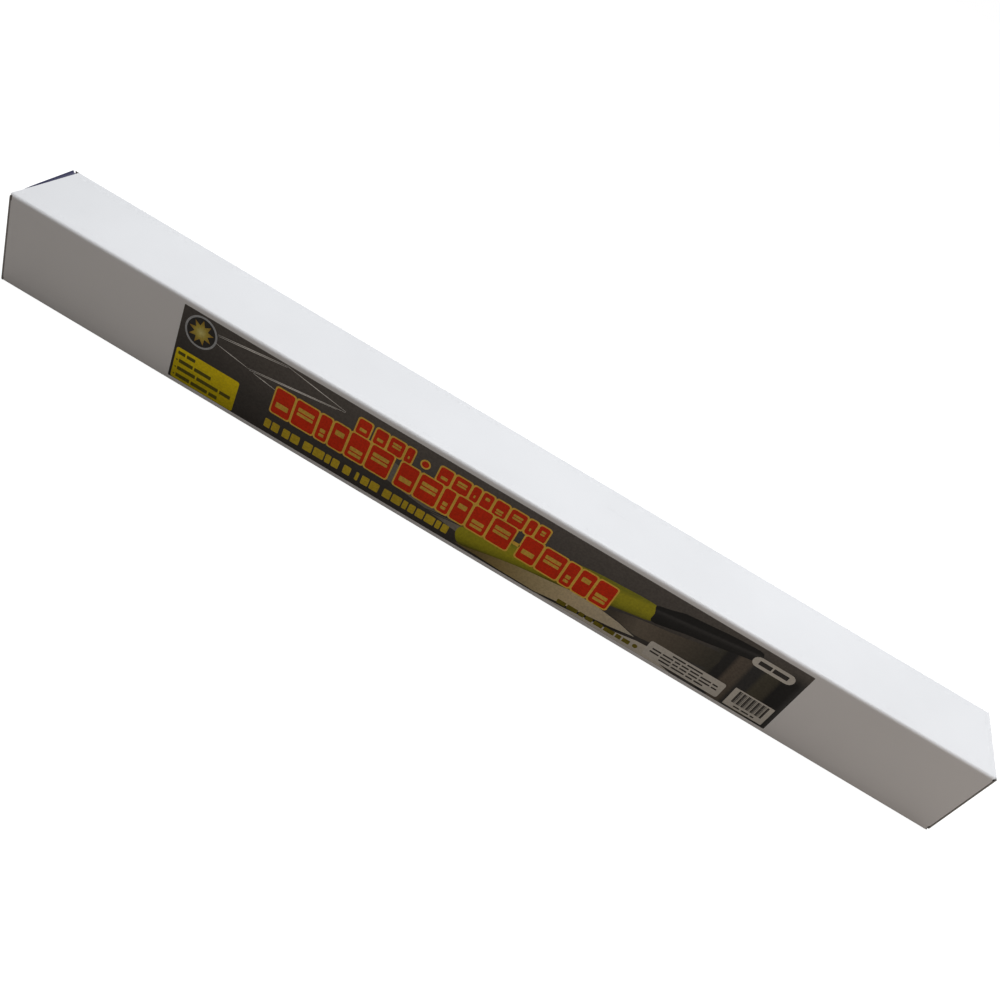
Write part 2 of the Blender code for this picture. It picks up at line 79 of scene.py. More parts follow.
TOP_LOW, TOP_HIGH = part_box("top_panel")
FLAP_LOW, FLAP_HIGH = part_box("right_front_dust_flap")
TUCK_LOW, TUCK_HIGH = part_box("right_tuck")
LABEL_LOW, LABEL_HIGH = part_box("label")
TUBE_LOW, TUBE_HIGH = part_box("light_tube")
TUCK_FOLD_Z = next(joint["pos_m"][2] for joint in frame["joints"] if joint["name"] == "right_tuck_fold")

BOARD = TOP_HIGH.z - TOP_LOW.z
HALF_BOARD = BOARD / 2
HALF_X = TOP_HIGH.x
HALF_Y = TOP_HIGH.y
HEIGHT = TOP_HIGH.z
FLAP_PLANE = FLAP_HIGH.x
LID_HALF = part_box("right_lid")[1].y
GLUE_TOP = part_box("glue_flap")[1].z

# Baton: stations run along its axis from the tail end, and radii are from that axis
AXIS_Z = (TUBE_LOW.z + TUBE_HIGH.z) / 2
OWN_FRAME = Matrix.Scale(MM, 4)
BATON_FRAME = Matrix.Translation((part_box("tail_cap")[0].x, 0, AXIS_Z)) @ OWN_FRAME
UPRIGHT = Matrix.Rotation(-math.pi / 2, 4, "Y")
THREAD_PITCH = 3.0
LEG_OFFSET = 1.27

# Carton
CREASE_RADIUS = 1.2 * MM
SOFT_CREASE = 2.2 * MM
CREASE_STEPS = 8
LID_CREASE = 0.8 * MM
CREASE_REACH = 2.0 * MM
LID_CREASE_STEPS = 10
WALL_REACH = 1.2 * BOARD
SECTION_STEP = 5 * MM
GLUE_GAP = 0.05 * MM
END_GAP = 0.2 * MM
SCORE_INSET = 1.0 * MM
SCORE_DEPTH = 0.10 * MM
LEFT_END_RECESS = 4.2 * MM
RECESS_CURVE = 0.8
LEFT_CREASE_LIFT = 0.85 * MM
LIFT_SWELL = 1.6
# How far along the left tuck's crease the painted gap shade reaches.
GAP_SHADE_REACH = 4.4 * MM
LABEL_MARGIN = 12 * MM
FLAP_LEAD = 2.0 * MM
FLAP_CORNER = 3.0 * MM
TUCK_TAPER = 1.0 * MM
TUCK_CORNER = 6.0 * MM
LID_BOW = 0.12 * MM

# Waves in the sleeve's walls, by their number in a metre; they fade towards the creases and the ends
BOARD_WAVE = 0.16 * MM
WAVES_ALONG = 9
WAVES_ROUND = 22
CALM_BY_CREASES = 8 * MM
CALM_BY_ENDS = 12

# Label: a film-covered sheet, and layers of ink on it
LABEL_LENGTH = LABEL_HIGH.x - LABEL_LOW.x
SHEET = 0.07 * MM
INK_STEP = 0.009 * MM
LABEL_HEAD = 4.0
PRINT_SHIFT = 0.9
PRINT_BOW = 2.0


# ---------------------------------------------------------------- materials

class Look:
    """A Principled material that is built up node by node."""

    def __init__(self, name, color, roughness, **sockets):
        self.material = bpy.data.materials.new(name)
        self.material.use_nodes = True
        self.tree = self.material.node_tree
        self.shader = self.tree.nodes["Principled BSDF"]
        self.fill(self.shader, {"Base Color": color, "Roughness": roughness, **sockets})
        self.place = self.node("TexCoord", {}, "Object")

    def fill(self, node, inputs):
        """Links outputs to a node's sockets, and sets the others to numbers and colours."""
        for name, value in inputs.items():
            socket = node.inputs[name]
            if isinstance(value, bpy.types.NodeSocket):
                self.tree.links.new(value, socket)
            else:
                socket.default_value = (*value, 1.0) if socket.type == "RGBA" else value

    def node(self, kind, inputs, output=0, **settings):
        """Adds a node, and gives one of its outputs."""
        node = self.tree.nodes.new("ShaderNode" + kind)
        for name, value in settings.items():
            setattr(node, name, value)
        self.fill(node, inputs)
        return node.outputs[output]

    def math(self, operation, *values):
        return self.node("Math", dict(enumerate(values)), operation=operation)

    def axis(self, name):
        """One coordinate of the place on the piece, in metres."""
        return self.node("SeparateXYZ", {0: self.place}, name)

    def noise(self, scale, detail=2.0, roughness=0.5, stretch=None):
        where = self.node("Mapping", {"Vector": self.place, "Scale": stretch}) if stretch else self.place
        inputs = {"Vector": where, "Scale": scale, "Detail": detail, "Roughness": roughness}
        return self.node("TexNoise", inputs, "Fac")

    def cells(self, scale):
        return self.node("TexVoronoi", {"Vector": self.place, "Scale": scale}, "Distance")

    def ramp(self, factor, stops):
        """Colours between (position, colour) stops."""
        node = self.tree.nodes.new("ShaderNodeValToRGB")
        elements = node.color_ramp.elements
        while len(elements) < len(stops):
            elements.new(1.0)
        for element, (position, color) in zip(elements, stops):
            element.position = position
            element.color = (*color, 1.0)
        self.fill(node, {0: factor})
        return node.outputs[0]

    def tones(self, field, color, dark, light, edge=0.3):
        """Shades of a colour, from dark to light as a noise field goes from edge to 1 - edge."""
        return self.ramp(field, [(edge, shade(color, dark)), (1 - edge, shade(color, light))])

    def share(self, value, low, high, smooth=False):
        """How far value is from low to high, from 0 to 1."""
        inputs = {"Value": value, "From Min": low, "From Max": high}
        return self.node("MapRange", inputs, interpolation_type="SMOOTHSTEP" if smooth else "LINEAR")

    def blend(self, factor, first, second, mode="MIX"):
        return self.node("Mix", {"Factor": factor, 6: first, 7: second}, 2, data_type="RGBA", blend_type=mode)

    def mottle(self, color, scale, spread, detail=3.0):
        """Multiplies a colour by a soft noise that stays within spread of 1."""
        grain = self.ramp(self.noise(scale, detail), [(0.35, grey(1 - spread)), (0.65, grey(1 + spread))])
        return self.blend(1.0, color, grain, "MULTIPLY")

    def color(self, value):
        self.fill(self.shader, {"Base Color": value})

    def rough(self, factor, low, high):
        level = self.node("MapRange", {"Value": factor, "To Min": low, "To Max": high})
        self.fill(self.shader, {"Roughness": level})

    def bump(self, height, strength, distance):
        """Adds relief over any that the material already has."""
        inputs = {"Strength": strength, "Distance": distance, "Height": height}
        target = self.shader.inputs["Normal"]
        if target.is_linked:
            inputs["Normal"] = target.links[0].from_socket
        self.fill(self.shader, {"Normal": self.node("Bump", inputs)})


def shade(color, factor):
    return tuple(min(1.0, channel * factor) for channel in color)


def grey(value):
    return (value, value, value)


def board_look(name, painted_shade=None):
    """White clay-coated side: faint clouding, fine fibre and a soft satin gloss; a painted shade mask, where
    given, darkens it to a dark blue-grey that stands in for shadow.
    """
    white = (0.80, 0.81, 0.825)
    look = Look(name, white, 0.45, IOR=1.45)
    scuff = look.share(look.noise(150.0, 4.0, 0.7, (0.25, 1.0, 1.0)), 0.66, 0.78, True)
    clouded = look.tones(look.noise(11.0, 3.0), white, 0.965, 1.02)
    color = look.blend(look.math("MULTIPLY", scuff, 0.25), clouded, shade(white, 0.86))
    if painted_shade:
        # Painted shade: dark blue-grey where the mask is set, in place of the shadow in a gap.
        color = look.blend(painted_shade(look), color, (0.045, 0.047, 0.105))
    look.color(color)
    look.rough(look.noise(70.0, 3.0), 0.38, 0.55)
    look.bump(look.noise(1500.0, 3.0, 0.6, (0.5, 1.0, 1.0)), 0.10, 0.05 * MM)
    look.bump(look.noise(55.0, 2.0), 0.12, 0.4 * MM)
    return look.material


def gap_shade(look):
    """Painted shade on the left tuck, close to its crease, standing in for the shadow of the gap under the
    top panel's end: none at the front, and most at the back.
    """
    fade = look.share(look.axis("Y"), -1.1 * HALF_Y, 0.0, True)
    ragged = look.math("MULTIPLY_ADD", look.noise(260.0, 3.0), 0.5, look.math("SUBTRACT", fade, 0.25))
    near = look.share(look.axis("X"), 1.3 * GAP_SHADE_REACH - HALF_X, GAP_SHADE_REACH - HALF_X)
    return look.math("MULTIPLY", near, look.share(ragged, 0.25, 0.75, True))


def grey_back():
    """Uncoated grey side of the board, with long fibres and small dark specks."""
    tone = (0.50, 0.49, 0.465)
    look = Look("grey_back", tone, 0.82)
    fibre = look.noise(900.0, 5.0, 0.7, (0.2, 1.0, 1.0))
    speck = look.share(look.cells(420.0), 0.10, 0.02, True)
    fibred = look.tones(fibre, tone, 0.82, 1.18)
    look.color(look.blend(look.math("MULTIPLY", speck, 0.7), fibred, (0.10, 0.09, 0.085)))
    look.bump(fibre, 0.35, 0.08 * MM)
    return look.material


def cut_edge():
    """Die-cut edge: pressed layers of pulp, lighter and darker."""
    pulp = (0.36, 0.35, 0.335)
    look = Look("cut_edge", pulp, 0.88)
    layers = look.noise(2600.0, 3.0, 0.6, (1.0, 0.25, 1.0))
    look.color(look.tones(layers, pulp, 0.72, 1.15, 0.35))
    look.bump(layers, 0.4, 0.06 * MM)
    return look.material


BOARD_LOOKS = [board_look("coated_board"), grey_back(), cut_edge()]
# The same board, with painted shade along the left tuck's crease.
GAP_SHADE_LOOKS = [board_look("gap_shaded_crease", gap_shade)] + BOARD_LOOKS[1:]
OUTER, INNER, EDGE = range(3)


def moulded(name, color, roughness=0.42):
    """Moulded plastic: fine spark-eroded grain, slight flow marks and a few rubbed spots."""
    look = Look(name, color, roughness)
    flow = look.noise(38.0, 3.0, 0.5, (0.3, 1.0, 1.0))
    rubbed = look.share(look.noise(210.0, 4.0, 0.65), 0.62, 0.76, True)
    toned = look.tones(flow, color, 0.88, 1.12)
    look.color(look.blend(look.math("MULTIPLY", rubbed, 0.35), toned, shade(color, 1.6)))
    worn = look.math("ADD", look.noise(320.0, 3.0), look.math("MULTIPLY", rubbed, -0.3))
    look.rough(worn, roughness - 0.1, roughness + 0.12)
    look.bump(look.cells(2400.0), 0.3, 0.05 * MM)
    return look.material


def metal(name, color):
    """Plated metal with fine drawing lines along X, and dull spots."""
    look = Look(name, color, 0.3, Metallic=1.0)
    lines = look.noise(2600.0, 3.0, 0.6, (0.1, 1.0, 1.0))
    dull = look.noise(240.0, 3.0)
    look.color(look.tones(dull, color, 0.8, 1.08))
    look.rough(look.math("MULTIPLY", look.math("ADD", lines, dull), 0.5), 0.16, 0.48)
    look.bump(lines, 0.12, 0.02 * MM)
    return look.material


def lime_plastic():
    """Dyed translucent plastic, with faint flow lines along the tube and a satin inside."""
    lime = (0.86, 0.85, 0.04)
    look = Look("lime_tube", lime, 0.3, **{"IOR": 1.49, "Transmission Weight": 0.40})
    flow = look.noise(60.0, 3.0, 0.55, (0.12, 1.0, 1.0))
    look.color(look.tones(flow, lime, 0.92, 1.06))
    look.rough(look.noise(420.0, 3.0), 0.20, 0.34)
    look.bump(look.noise(30.0, 1.0, 0.5, (0.3, 1.0, 1.0)), 0.03, 0.2 * MM)
    return look.material


def clear_resin():
    """Water-clear lamp lens."""
    look = Look("led_clear", (0.93, 0.95, 0.92), 0.06, **{"IOR": 1.53, "Transmission Weight": 0.92})
    look.color(look.mottle((0.92, 0.94, 0.90), 900.0, 0.04))
    look.rough(look.noise(700.0, 2.0), 0.03, 0.12)
    return look.material


def rubber():
    """Dull black seal."""
    look = Look("seal_rubber", grey(0.02), 0.7)
    look.color(look.mottle(grey(0.022), 500.0, 0.35))
    look.rough(look.noise(800.0, 3.0), 0.6, 0.85)
    look.bump(look.noise(3000.0, 2.0), 0.2, 0.04 * MM)
    return look.material


def solder_mask():
    """Green lacquer over copper: lighter tracks along the board and tinned rings round the lamps' legs."""
    green = (0.012, 0.12, 0.035)
    look = Look("board_green", green, 0.32, IOR=1.5)
    across = look.math("ABSOLUTE", look.axis("Y"))
    wide = look.math("COMPARE", across, 4.3 * MM, 0.5 * MM)
    tracks = look.math("MAXIMUM", wide, look.math("COMPARE", across, 2.2 * MM, 0.35 * MM))
    low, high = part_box("led_1")
    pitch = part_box("led_2")[0].x - low.x
    along = look.math("SUBTRACT", look.axis("X"), (low.x + high.x) / 2)
    leg = look.math("SUBTRACT", look.math("PINGPONG", along, pitch / 2), LEG_OFFSET * MM)
    ring = look.math("LESS_THAN", length_of(look, leg, across), 1.1 * MM)
    lacquer = look.mottle(green, 220.0, 0.15)
    color = look.blend(look.math("MULTIPLY", tracks, 0.7), lacquer, (0.03, 0.22, 0.06))
    look.color(look.blend(ring, color, (0.62, 0.62, 0.60)))
    look.rough(look.noise(350.0, 3.0), 0.22, 0.42)
    look.bump(tracks, 0.5, 0.04 * MM)
    return look.material


def length_of(look, first, second):
    """How long a vector with two components is."""
    squares = [look.math("MULTIPLY", part, part) for part in (first, second)]
    return look.math("SQRT", look.math("ADD", *squares))


def banded_ceramic():
    """Tan resistor body with colour bands, in the piece's own frame: X runs along the body."""
    tan = (0.52, 0.36, 0.19)
    look = Look("resistor_tan", tan, 0.45)
    color = look.mottle(tan, 700.0, 0.08)
    bands = [(-1.9, (0.30, 0.12, 0.02)), (-0.8, grey(0.02)), (0.3, (0.45, 0.02, 0.01)),
             (1.9, (0.50, 0.34, 0.06))]
    for place, band in bands:
        color = look.blend(look.math("COMPARE", look.axis("X"), place * MM, 0.25 * MM), color, band)
    look.color(color)
    look.rough(look.noise(600.0, 2.0), 0.35, 0.55)
    return look.material


def film(look):
    """Satin film over the print: slight gloss changes and a faint orange peel."""
    look.fill(look.shader, {"Specular IOR Level": 0.22})
    look.rough(look.noise(90.0, 3.0), 0.30, 0.46)
    look.bump(look.noise(650.0, 2.0), 0.06, 0.05 * MM)
    return look.material


def ink(name, color, spread=0.10):
    """One flat ink with the mottle of coarse screen printing."""
    look = Look(name, color, 0.35, IOR=1.45)
    look.color(look.mottle(look.mottle(color, 900.0, spread), 60.0, spread / 2))
    return film(look)


def label_u(look):
    """Millimetres along the print, as label_points places them."""
    share = look.share(look.axis("X"), LABEL_LOW.x, LABEL_HIGH.x)
    arch = look.math("MULTIPLY", share, look.math("SUBTRACT", 1.0, share))
    shift = look.math("MULTIPLY_ADD", arch, 4 * PRINT_BOW, PRINT_SHIFT)
    return look.math("MULTIPLY_ADD", share, LABEL_LENGTH / MM, shift)


def label_v(look):
    """Millimetres down the label, which starts at LABEL_HEAD."""
    return look.math("MULTIPLY_ADD", look.axis("Z"), -1 / MM, LABEL_HIGH.z / MM + LABEL_HEAD)


def from_line(look, u0, v0, slope):
    """Millimetres below a sloping line on the label."""
    level = look.math("MULTIPLY_ADD", label_u(look), slope, v0 - u0 * slope)
    return look.math("SUBTRACT", label_v(look), level)


def from_point(look, u0, v0):
    """Millimetres from a place on the label."""
    across = look.math("SUBTRACT", label_u(look), u0)
    return length_of(look, across, look.math("SUBTRACT", label_v(look), v0))


def placed(stops):
    """Stops with their places turned into shares of the way from the first to the last."""
    first, last = stops[0][0], stops[-1][0]
    return [((place - first) / (last - first), color) for place, color in stops]


def sheet_look():
    """Dark print: grey that deepens downwards, and blurred upright bands at the right end."""
    look = Look("label_sheet", grey(0.1), 0.35, IOR=1.45)
    u, v = label_u(look), label_v(look)
    night = [(0, (0.118, 0.108, 0.098)), (0.35, (0.092, 0.084, 0.076)), (0.65, (0.062, 0.058, 0.053)),
             (1, (0.052, 0.048, 0.044))]
    night = look.ramp(look.share(v, 4.0, 53.4), night)
    dim = look.ramp(look.share(u, 0.0, 60.0), [(0.0, grey(0.72)), (0.5, grey(0.85)), (1.0, grey(1.0))])
    night = look.blend(1.0, night, dim, "MULTIPLY")
    stops = [(340.0, grey(0.075)), (346.5, (0.060, 0.058, 0.045)), (348.5, grey(0.028)), (353.0, grey(0.028)),
             (355.5, (0.125, 0.104, 0.082)), (361.5, (0.115, 0.098, 0.078)), (364.0, grey(0.040)),
             (369.0, grey(0.040)), (371.5, (0.075, 0.070, 0.050)), (378.5, (0.068, 0.062, 0.045)),
             (381.0, grey(0.018)), (388.0, grey(0.020)), (391.0, grey(0.05))]
    bands = look.ramp(look.share(u, stops[0][0], stops[-1][0]), placed(stops))
    shown = look.math("MULTIPLY", look.share(u, 334.0, 345.0, True), look.share(v, 6.0, 16.0, True))
    look.color(look.mottle(look.blend(shown, night, bands), 800.0, 0.12))
    return film(look)


def graded_ink(name, stops, value, *place):
    """Ink that changes along value, a function of the look and a place; stops are (value, colour)."""
    look = Look(name, stops[0][1], 0.35, IOR=1.45)
    along = look.share(value(look, *place), stops[0][0], stops[-1][0])
    look.color(look.mottle(look.ramp(along, placed(stops)), 800.0, 0.10))
    return film(look)


# ---------------------------------------------------------------- mesh helpers

def finish_piece(name, bm, materials, body=None, nodes=(), smooth=None, where=None):
    """Makes a piece from bm, and says what it rides on, replaces and takes its finish from."""
    bmesh.ops.recalc_face_normals(bm, faces=bm.faces)
    mesh = bpy.data.meshes.new(name)
    bm.to_mesh(mesh)
    bm.free()
    if smooth is not None:
        mesh.shade_smooth()
        mesh.set_sharp_from_angle(angle=math.radians(smooth))
    piece = bpy.data.objects.new(name, mesh)
    for material in materials:
        mesh.materials.append(material)
    bpy.context.scene.collection.objects.link(piece)
    if where is not None:
        piece.matrix_world = where
    if body:
        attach(piece, body)
    if nodes:
        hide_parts(*nodes)
    return piece


def baton_piece(name, bm, materials, node, body="baton", smooth=35, where=None):
    """A piece in place of one of the baton's nodes, with the materials given."""
    finish_piece(name, bm, materials, body, (node,), smooth, where)


def dress(material, *nodes):
    """Gives CAD nodes a better material."""
    for node in nodes:
        for place in frame["nodes"][node].material_slots:
            place.material = material


def eased(share):
    """A share from 0 to 1 that starts and stops gently."""
    return share * share * (3 - 2 * share)


def clamped(share):
    return max(0.0, min(1.0, share))


def arc(centre, radius, first, last, steps):
    angles = [math.radians(first + (last - first) * i / steps) for i in range(steps + 1)]
    return [(centre[0] + radius * math.cos(a), centre[1] + radius * math.sin(a)) for a in angles]


def rectangle(left, bottom, right, top, radius=0.5, steps=4):
    """Closed outline with rounded corners."""
    corners = [((right - radius, bottom + radius), -90), ((right - radius, top - radius), 0),
               ((left + radius, top - radius), 90), ((left + radius, bottom + radius), 180)]
    return [point for centre, first in corners for point in arc(centre, radius, first, first + 90, steps)]


def smooth_outline(points, steps=4):
    """A closed curve through its points."""
    curve = []
    count = len(points)
    for i in range(count):
        before, start, end, after = (Vector(points[(i + k) % count]) for k in (-1, 0, 1, 2))
        for step in range(steps):
            t = step / steps
            bend = 2 * before - 5 * start + 4 * end - after
            twist = 3 * start - before - 3 * end + after
            curve.append(0.5 * (2 * start + (end - before) * t + bend * t * t + twist * t ** 3))
    return curve


def filleted(corners, radii, steps=CREASE_STEPS):
    """The corners of a bent line, with each inner corner turned into an arc of its own radius."""
    points = [Vector(corners[0])]
    for before, corner, after, radius in zip(corners, corners[1:], corners[2:], radii):
        corner = Vector(corner)
        back = (Vector(before) - corner).normalized()
        ahead = (Vector(after) - corner).normalized()
        half = back.angle(ahead) / 2
        middle = corner + (back + ahead).normalized() * radius / math.sin(half)
        start, end = (corner + side * radius / math.tan(half) - middle for side in (back, ahead))
        points += [middle + start.slerp(end, i / steps).normalized() * radius for i in range(steps + 1)]
    points.append(Vector(corners[-1]))
    return points


def both_sides(path, thickness):
    """Pairs of points at half the thickness to the right and to the left of a path."""
    pairs = []
    for i, point in enumerate(path):
        along = (path[min(i + 1, len(path) - 1)] - path[max(i - 1, 0)]).normalized()
        right = Vector((along.y, -along.x)) * thickness / 2
        pairs.append((point + right, point - right))
    return pairs


def board_rows(rows):
    """A sheet of board. rows[i][j] is a pair of points: on its coated side and on its grey side."""
    bm = bmesh.new()
    grid = [[(bm.verts.new(outer), bm.verts.new(inner)) for outer, inner in row] for row in rows]
    last_row, last_point = len(rows) - 1, len(rows[0]) - 1

    def face(corners, kind):
        bm.faces.new(corners).material_index = kind

    for i in range(last_row):
        for j in range(last_point):
            a, b, c, d = grid[i][j], grid[i + 1][j], grid[i + 1][j + 1], grid[i][j + 1]
            face([a[0], b[0], c[0], d[0]], OUTER)
            face([d[1], c[1], b[1], a[1]], INNER)
        for j in (0, last_point):
            a, b = grid[i][j], grid[i + 1][j]
            face([a[0], a[1], b[1], b[0]], EDGE)
    for j in range(last_point):
        for i in (0, last_row):
            a, b = grid[i][j], grid[i][j + 1]
            face([a[0], b[0], b[1], a[1]], EDGE)
    return bm


def loft(loops, material=0, bm=None, kinds=None):
    """A closed solid through matching loops; kinds are the materials of its first end, last end and sides."""
    bm = bm or bmesh.new()
    first_kind, last_kind, side_kind = kinds or [material] * 3
    rings = [[bm.verts.new(point) for point in loop] for loop in loops]
    bm.faces.new(rings[0]).material_index = first_kind
    bm.faces.new(rings[-1][::-1]).material_index = last_kind
    for first, second in zip(rings, rings[1:]):
        for i in range(len(first)):
            j = (i + 1) % len(first)
            bm.faces.new([first[i], second[i], second[j], first[j]]).material_index = side_kind
    return bm


def slab(outline, low, high, chamfer=0.0, bm=None):
    """An upright solid in the baton, on an outline round its own middle, with its upper edge chamfered."""
    middle = sum((Vector(point) for point in outline), Vector((0, 0))) / len(outline)
    half = max((Vector(point) - middle).length for point in outline)
    inset = [middle + (Vector(point) - middle) * (1 - chamfer / half) for point in outline]
    levels = [(outline, low), (outline, high)]
    if chamfer:
        levels = [(outline, low), (outline, high - chamfer), (inset, high)]
    return loft([[BATON_FRAME @ Vector((x, y, z)) for x, y in loop] for loop, z in levels], bm=bm)


def turned(profile, steps=96, closed=False, relief=None, frame=BATON_FRAME, material=0, bm=None):
    """Spins (station, radius) points round a frame's X axis; relief adds to the radius."""
    bm = bm or bmesh.new()
    rings = []
    for station, radius in profile:
        if radius < 1e-9:
            rings.append([bm.verts.new(frame @ Vector((station, 0, 0)))])
            continue
        ring = []
        for i in range(steps):
            angle = 2 * math.pi * i / steps
            reach = radius + (relief(station, radius, angle) if relief else 0.0)
            place = Vector((station, reach * math.cos(angle), reach * math.sin(angle)))
            ring.append(bm.verts.new(frame @ place))
        rings.append(ring)
    pairs = list(zip(rings, rings[1:]))
    if closed:
        pairs.append((rings[-1], rings[0]))
    for first, second in pairs:
        for i in range(steps):
            corners = [first[i % len(first)], second[i % len(second)],
                       second[(i + 1) % len(second)], first[(i + 1) % len(first)]]
            unique = list(dict.fromkeys(corners))
            if len(unique) > 2:
                bm.faces.new(unique).material_index = material
    return bm


def stepped(profile, step, whole=math.ceil):
    """Adds points to a line's long runs."""
    points = []
    for first, second in zip(profile, profile[1:]):
        first, second = Vector(first), Vector(second)
        pieces = max(1, whole((second - first).length / step))
        points += [first.lerp(second, i / pieces) for i in range(pieces)]
    return points + [Vector(profile[-1])]


def wire(points, radius, frame=BATON_FRAME, sides=10, material=0, bm=None):
    """A round wire along points in a frame, closed at both ends; its radius is in millimetres."""
    points = [frame @ Vector(point) for point in points]
    normal = (points[1] - points[0]).orthogonal().normalized()
    rings = []
    for i, point in enumerate(points):
        along = (points[min(i + 1, len(points) - 1)] - points[max(i - 1, 0)]).normalized()
        normal = (normal - along * normal.dot(along)).normalized()
        other = along.cross(normal)
        angles = [2 * math.pi * k / sides for k in range(sides)]
        rings.append([point + (normal * math.cos(a) + other * math.sin(a)) * radius * MM for a in angles])
    return loft(rings, material, bm)


def combined(bm, tool, operation):
    """The union or difference of two closed meshes."""
    pair = []
    for number, source in enumerate((bm, tool)):
        bmesh.ops.recalc_face_normals(source, faces=source.faces)
        mesh = bpy.data.meshes.new(f"work_{number}")
        source.to_mesh(mesh)
        source.free()
        pair.append(bpy.data.objects.new(mesh.name, mesh))
        bpy.context.scene.collection.objects.link(pair[-1])
    modifier = pair[0].modifiers.new("combine", "BOOLEAN")
    modifier.operation = operation
    modifier.solver = "EXACT"
    modifier.object = pair[1]
    result = bmesh.new()
    result.from_object(pair[0], bpy.context.evaluated_depsgraph_get())
    for work in pair:
        mesh = work.data
        bpy.data.objects.remove(work)
        bpy.data.meshes.remove(mesh)
    return result


# ---------------------------------------------------------------- carton

def end_turn(side):
    """Takes the right end's geometry to the named end: the left end is the right one turned half round Y."""
    if side == "right":
        return Matrix.Identity(4)
    return Matrix.Translation((0, 0, HEIGHT)) @ Matrix.Rotation(math.pi, 4, "Y")


def sleeve_path():
    """Centreline of the sleeve's sheet, in (y, z), from the back panel's free edge to the glue flap's."""
    side, top = HALF_Y - HALF_BOARD, HEIGHT - HALF_BOARD
    glued = side - BOARD - GLUE_GAP
    corners = [(side, BOARD), (side, top), (-side, top), (-side, HALF_BOARD), (glued, HALF_BOARD),
               (glued, GLUE_TOP)]
    radii = [radius - HALF_BOARD for radius in (CREASE_RADIUS, SOFT_CREASE, CREASE_RADIUS, CREASE_RADIUS)]
    return stepped(filleted(corners, radii), SECTION_STEP, round)


def left_recess(y):
    """How far the top panel's left end stands back from the crease of the tuck under it."""
    return LEFT_END_RECESS * clamped((y + HALF_Y) / (2 * HALF_Y)) ** RECESS_CURVE


def lidded_panel(y, z, side):
    """Whether a place on the sleeve's section is on the panel that the lid hangs from."""
    over = z if side == "right" else HEIGHT - z
    return HALF_Y - abs(y) >= WALL_REACH and over > HEIGHT / 2


def sleeve_end(y, z, side):
    """How far along X the sleeve reaches at one end, at a place on its section."""
    if HALF_Y - abs(y) < WALL_REACH:
        return FLAP_PLANE - LID_CREASE
    if lidded_panel(y, z, side):
        return HALF_X - LID_CREASE
    return HALF_X - (left_recess(y) if side == "left" else END_GAP)


def sleeve_shares():
    """Where the rows of the sleeve's mesh lie, from -1 at the left end to 1 at the right end."""
    steps = 64
    inner = [2 * i / steps - 1 for i in range(1, steps)]
    ends = [1 - SCORE_INSET * k / HALF_X for k in (0, 0.5, 1, 1.5, 3)]
    return [-share for share in ends] + inner + ends[::-1]


def build_sleeve():
    """Top, front, bottom and back as one folded sheet, glued along the back, with slightly wavy panels."""
    section = both_sides(sleeve_path(), BOARD)
    rows = []
    for share in sleeve_shares():
        side = "right" if share > 0 else "left"
        row = []
        for outer, inner in section:
            y, z = (outer + inner) / 2
            reach = sleeve_end(y, z, side)
            x = share * reach
            flat = max(HALF_Y - abs(y), min(z, HEIGHT - z))
            calm = clamped((flat - BOARD) / CALM_BY_CREASES) * min(1.0, (1 - abs(share)) * CALM_BY_ENDS)
            if y < BOARD - HALF_Y:
                calm *= clamped(max(LABEL_LOW.x - x, x - LABEL_HIGH.x) / LABEL_MARGIN)
            wave = noise.noise(Vector((x * WAVES_ALONG, y * WAVES_ROUND, z * WAVES_ROUND)))
            dip = (0.5 + 0.5 * wave) * BOARD_WAVE * calm
            if lidded_panel(y, z, side):
                off_score = abs(reach - abs(x) - SCORE_INSET)
                dip += SCORE_DEPTH * max(0.0, 1 - off_score / (SCORE_INSET / 2))
            shift = (inner - outer).normalized() * dip
            row.append([(x, point.x + shift.x, point.y + shift.y) for point in (outer, inner)])
        rows.append(row)
    nodes = ("top_panel", "bottom_panel", "front_panel", "back_panel", "glue_flap")
    finish_piece("sleeve", board_rows(rows), BOARD_LOOKS, "carton", nodes, 40)


def crease_strip(name, rows, looks=BOARD_LOOKS):
    """A bent strip of board that joins two panels."""
    strip = finish_piece(name, board_rows(rows), looks, smooth=40)
    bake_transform(strip)


def folded(corners):
    """Pairs of points on both sides of a strip of board with one fold in it."""
    return both_sides(filleted(corners, [LID_CREASE - HALF_BOARD], LID_CREASE_STEPS), BOARD)


def build_lid(side):
    """The lid's plate, and its crease on the panel that it hangs from."""
    turn = end_turn(side)
    body = side + "_lid"
    lid_x = HALF_X - HALF_BOARD
    lid_top = HEIGHT - CREASE_REACH
    lid_bottom = TUCK_FOLD_Z + CREASE_REACH

    level = HEIGHT - HALF_BOARD
    pairs = folded([(HALF_X - LID_CREASE, level), (lid_x, level), (lid_x, lid_top)])
    rows = []
    for y in (-LID_HALF, 0, LID_HALF):
        rows.append([[turn @ Vector((p.x, y, p.y)) for p in pair[::-1]] for pair in pairs])
    crease_strip(side + "_lid_crease", rows)

    rows = []
    steps = 12
    for i in range(steps + 1):
        across = 2 * i / steps - 1
        row = []
        for j in range(steps + 1):
            z = lid_top + (lid_bottom - lid_top) * j / steps
            x = HALF_X - LID_BOW * (1 - across ** 2) * (1 - (2 * j / steps - 1) ** 2)
            row.append([turn @ Vector((x - depth, LID_HALF * across, z)) for depth in (0, BOARD)])
        rows.append(row)
    finish_piece(side + "_lid_panel", board_rows(rows), BOARD_LOOKS, body, (body,), 40)


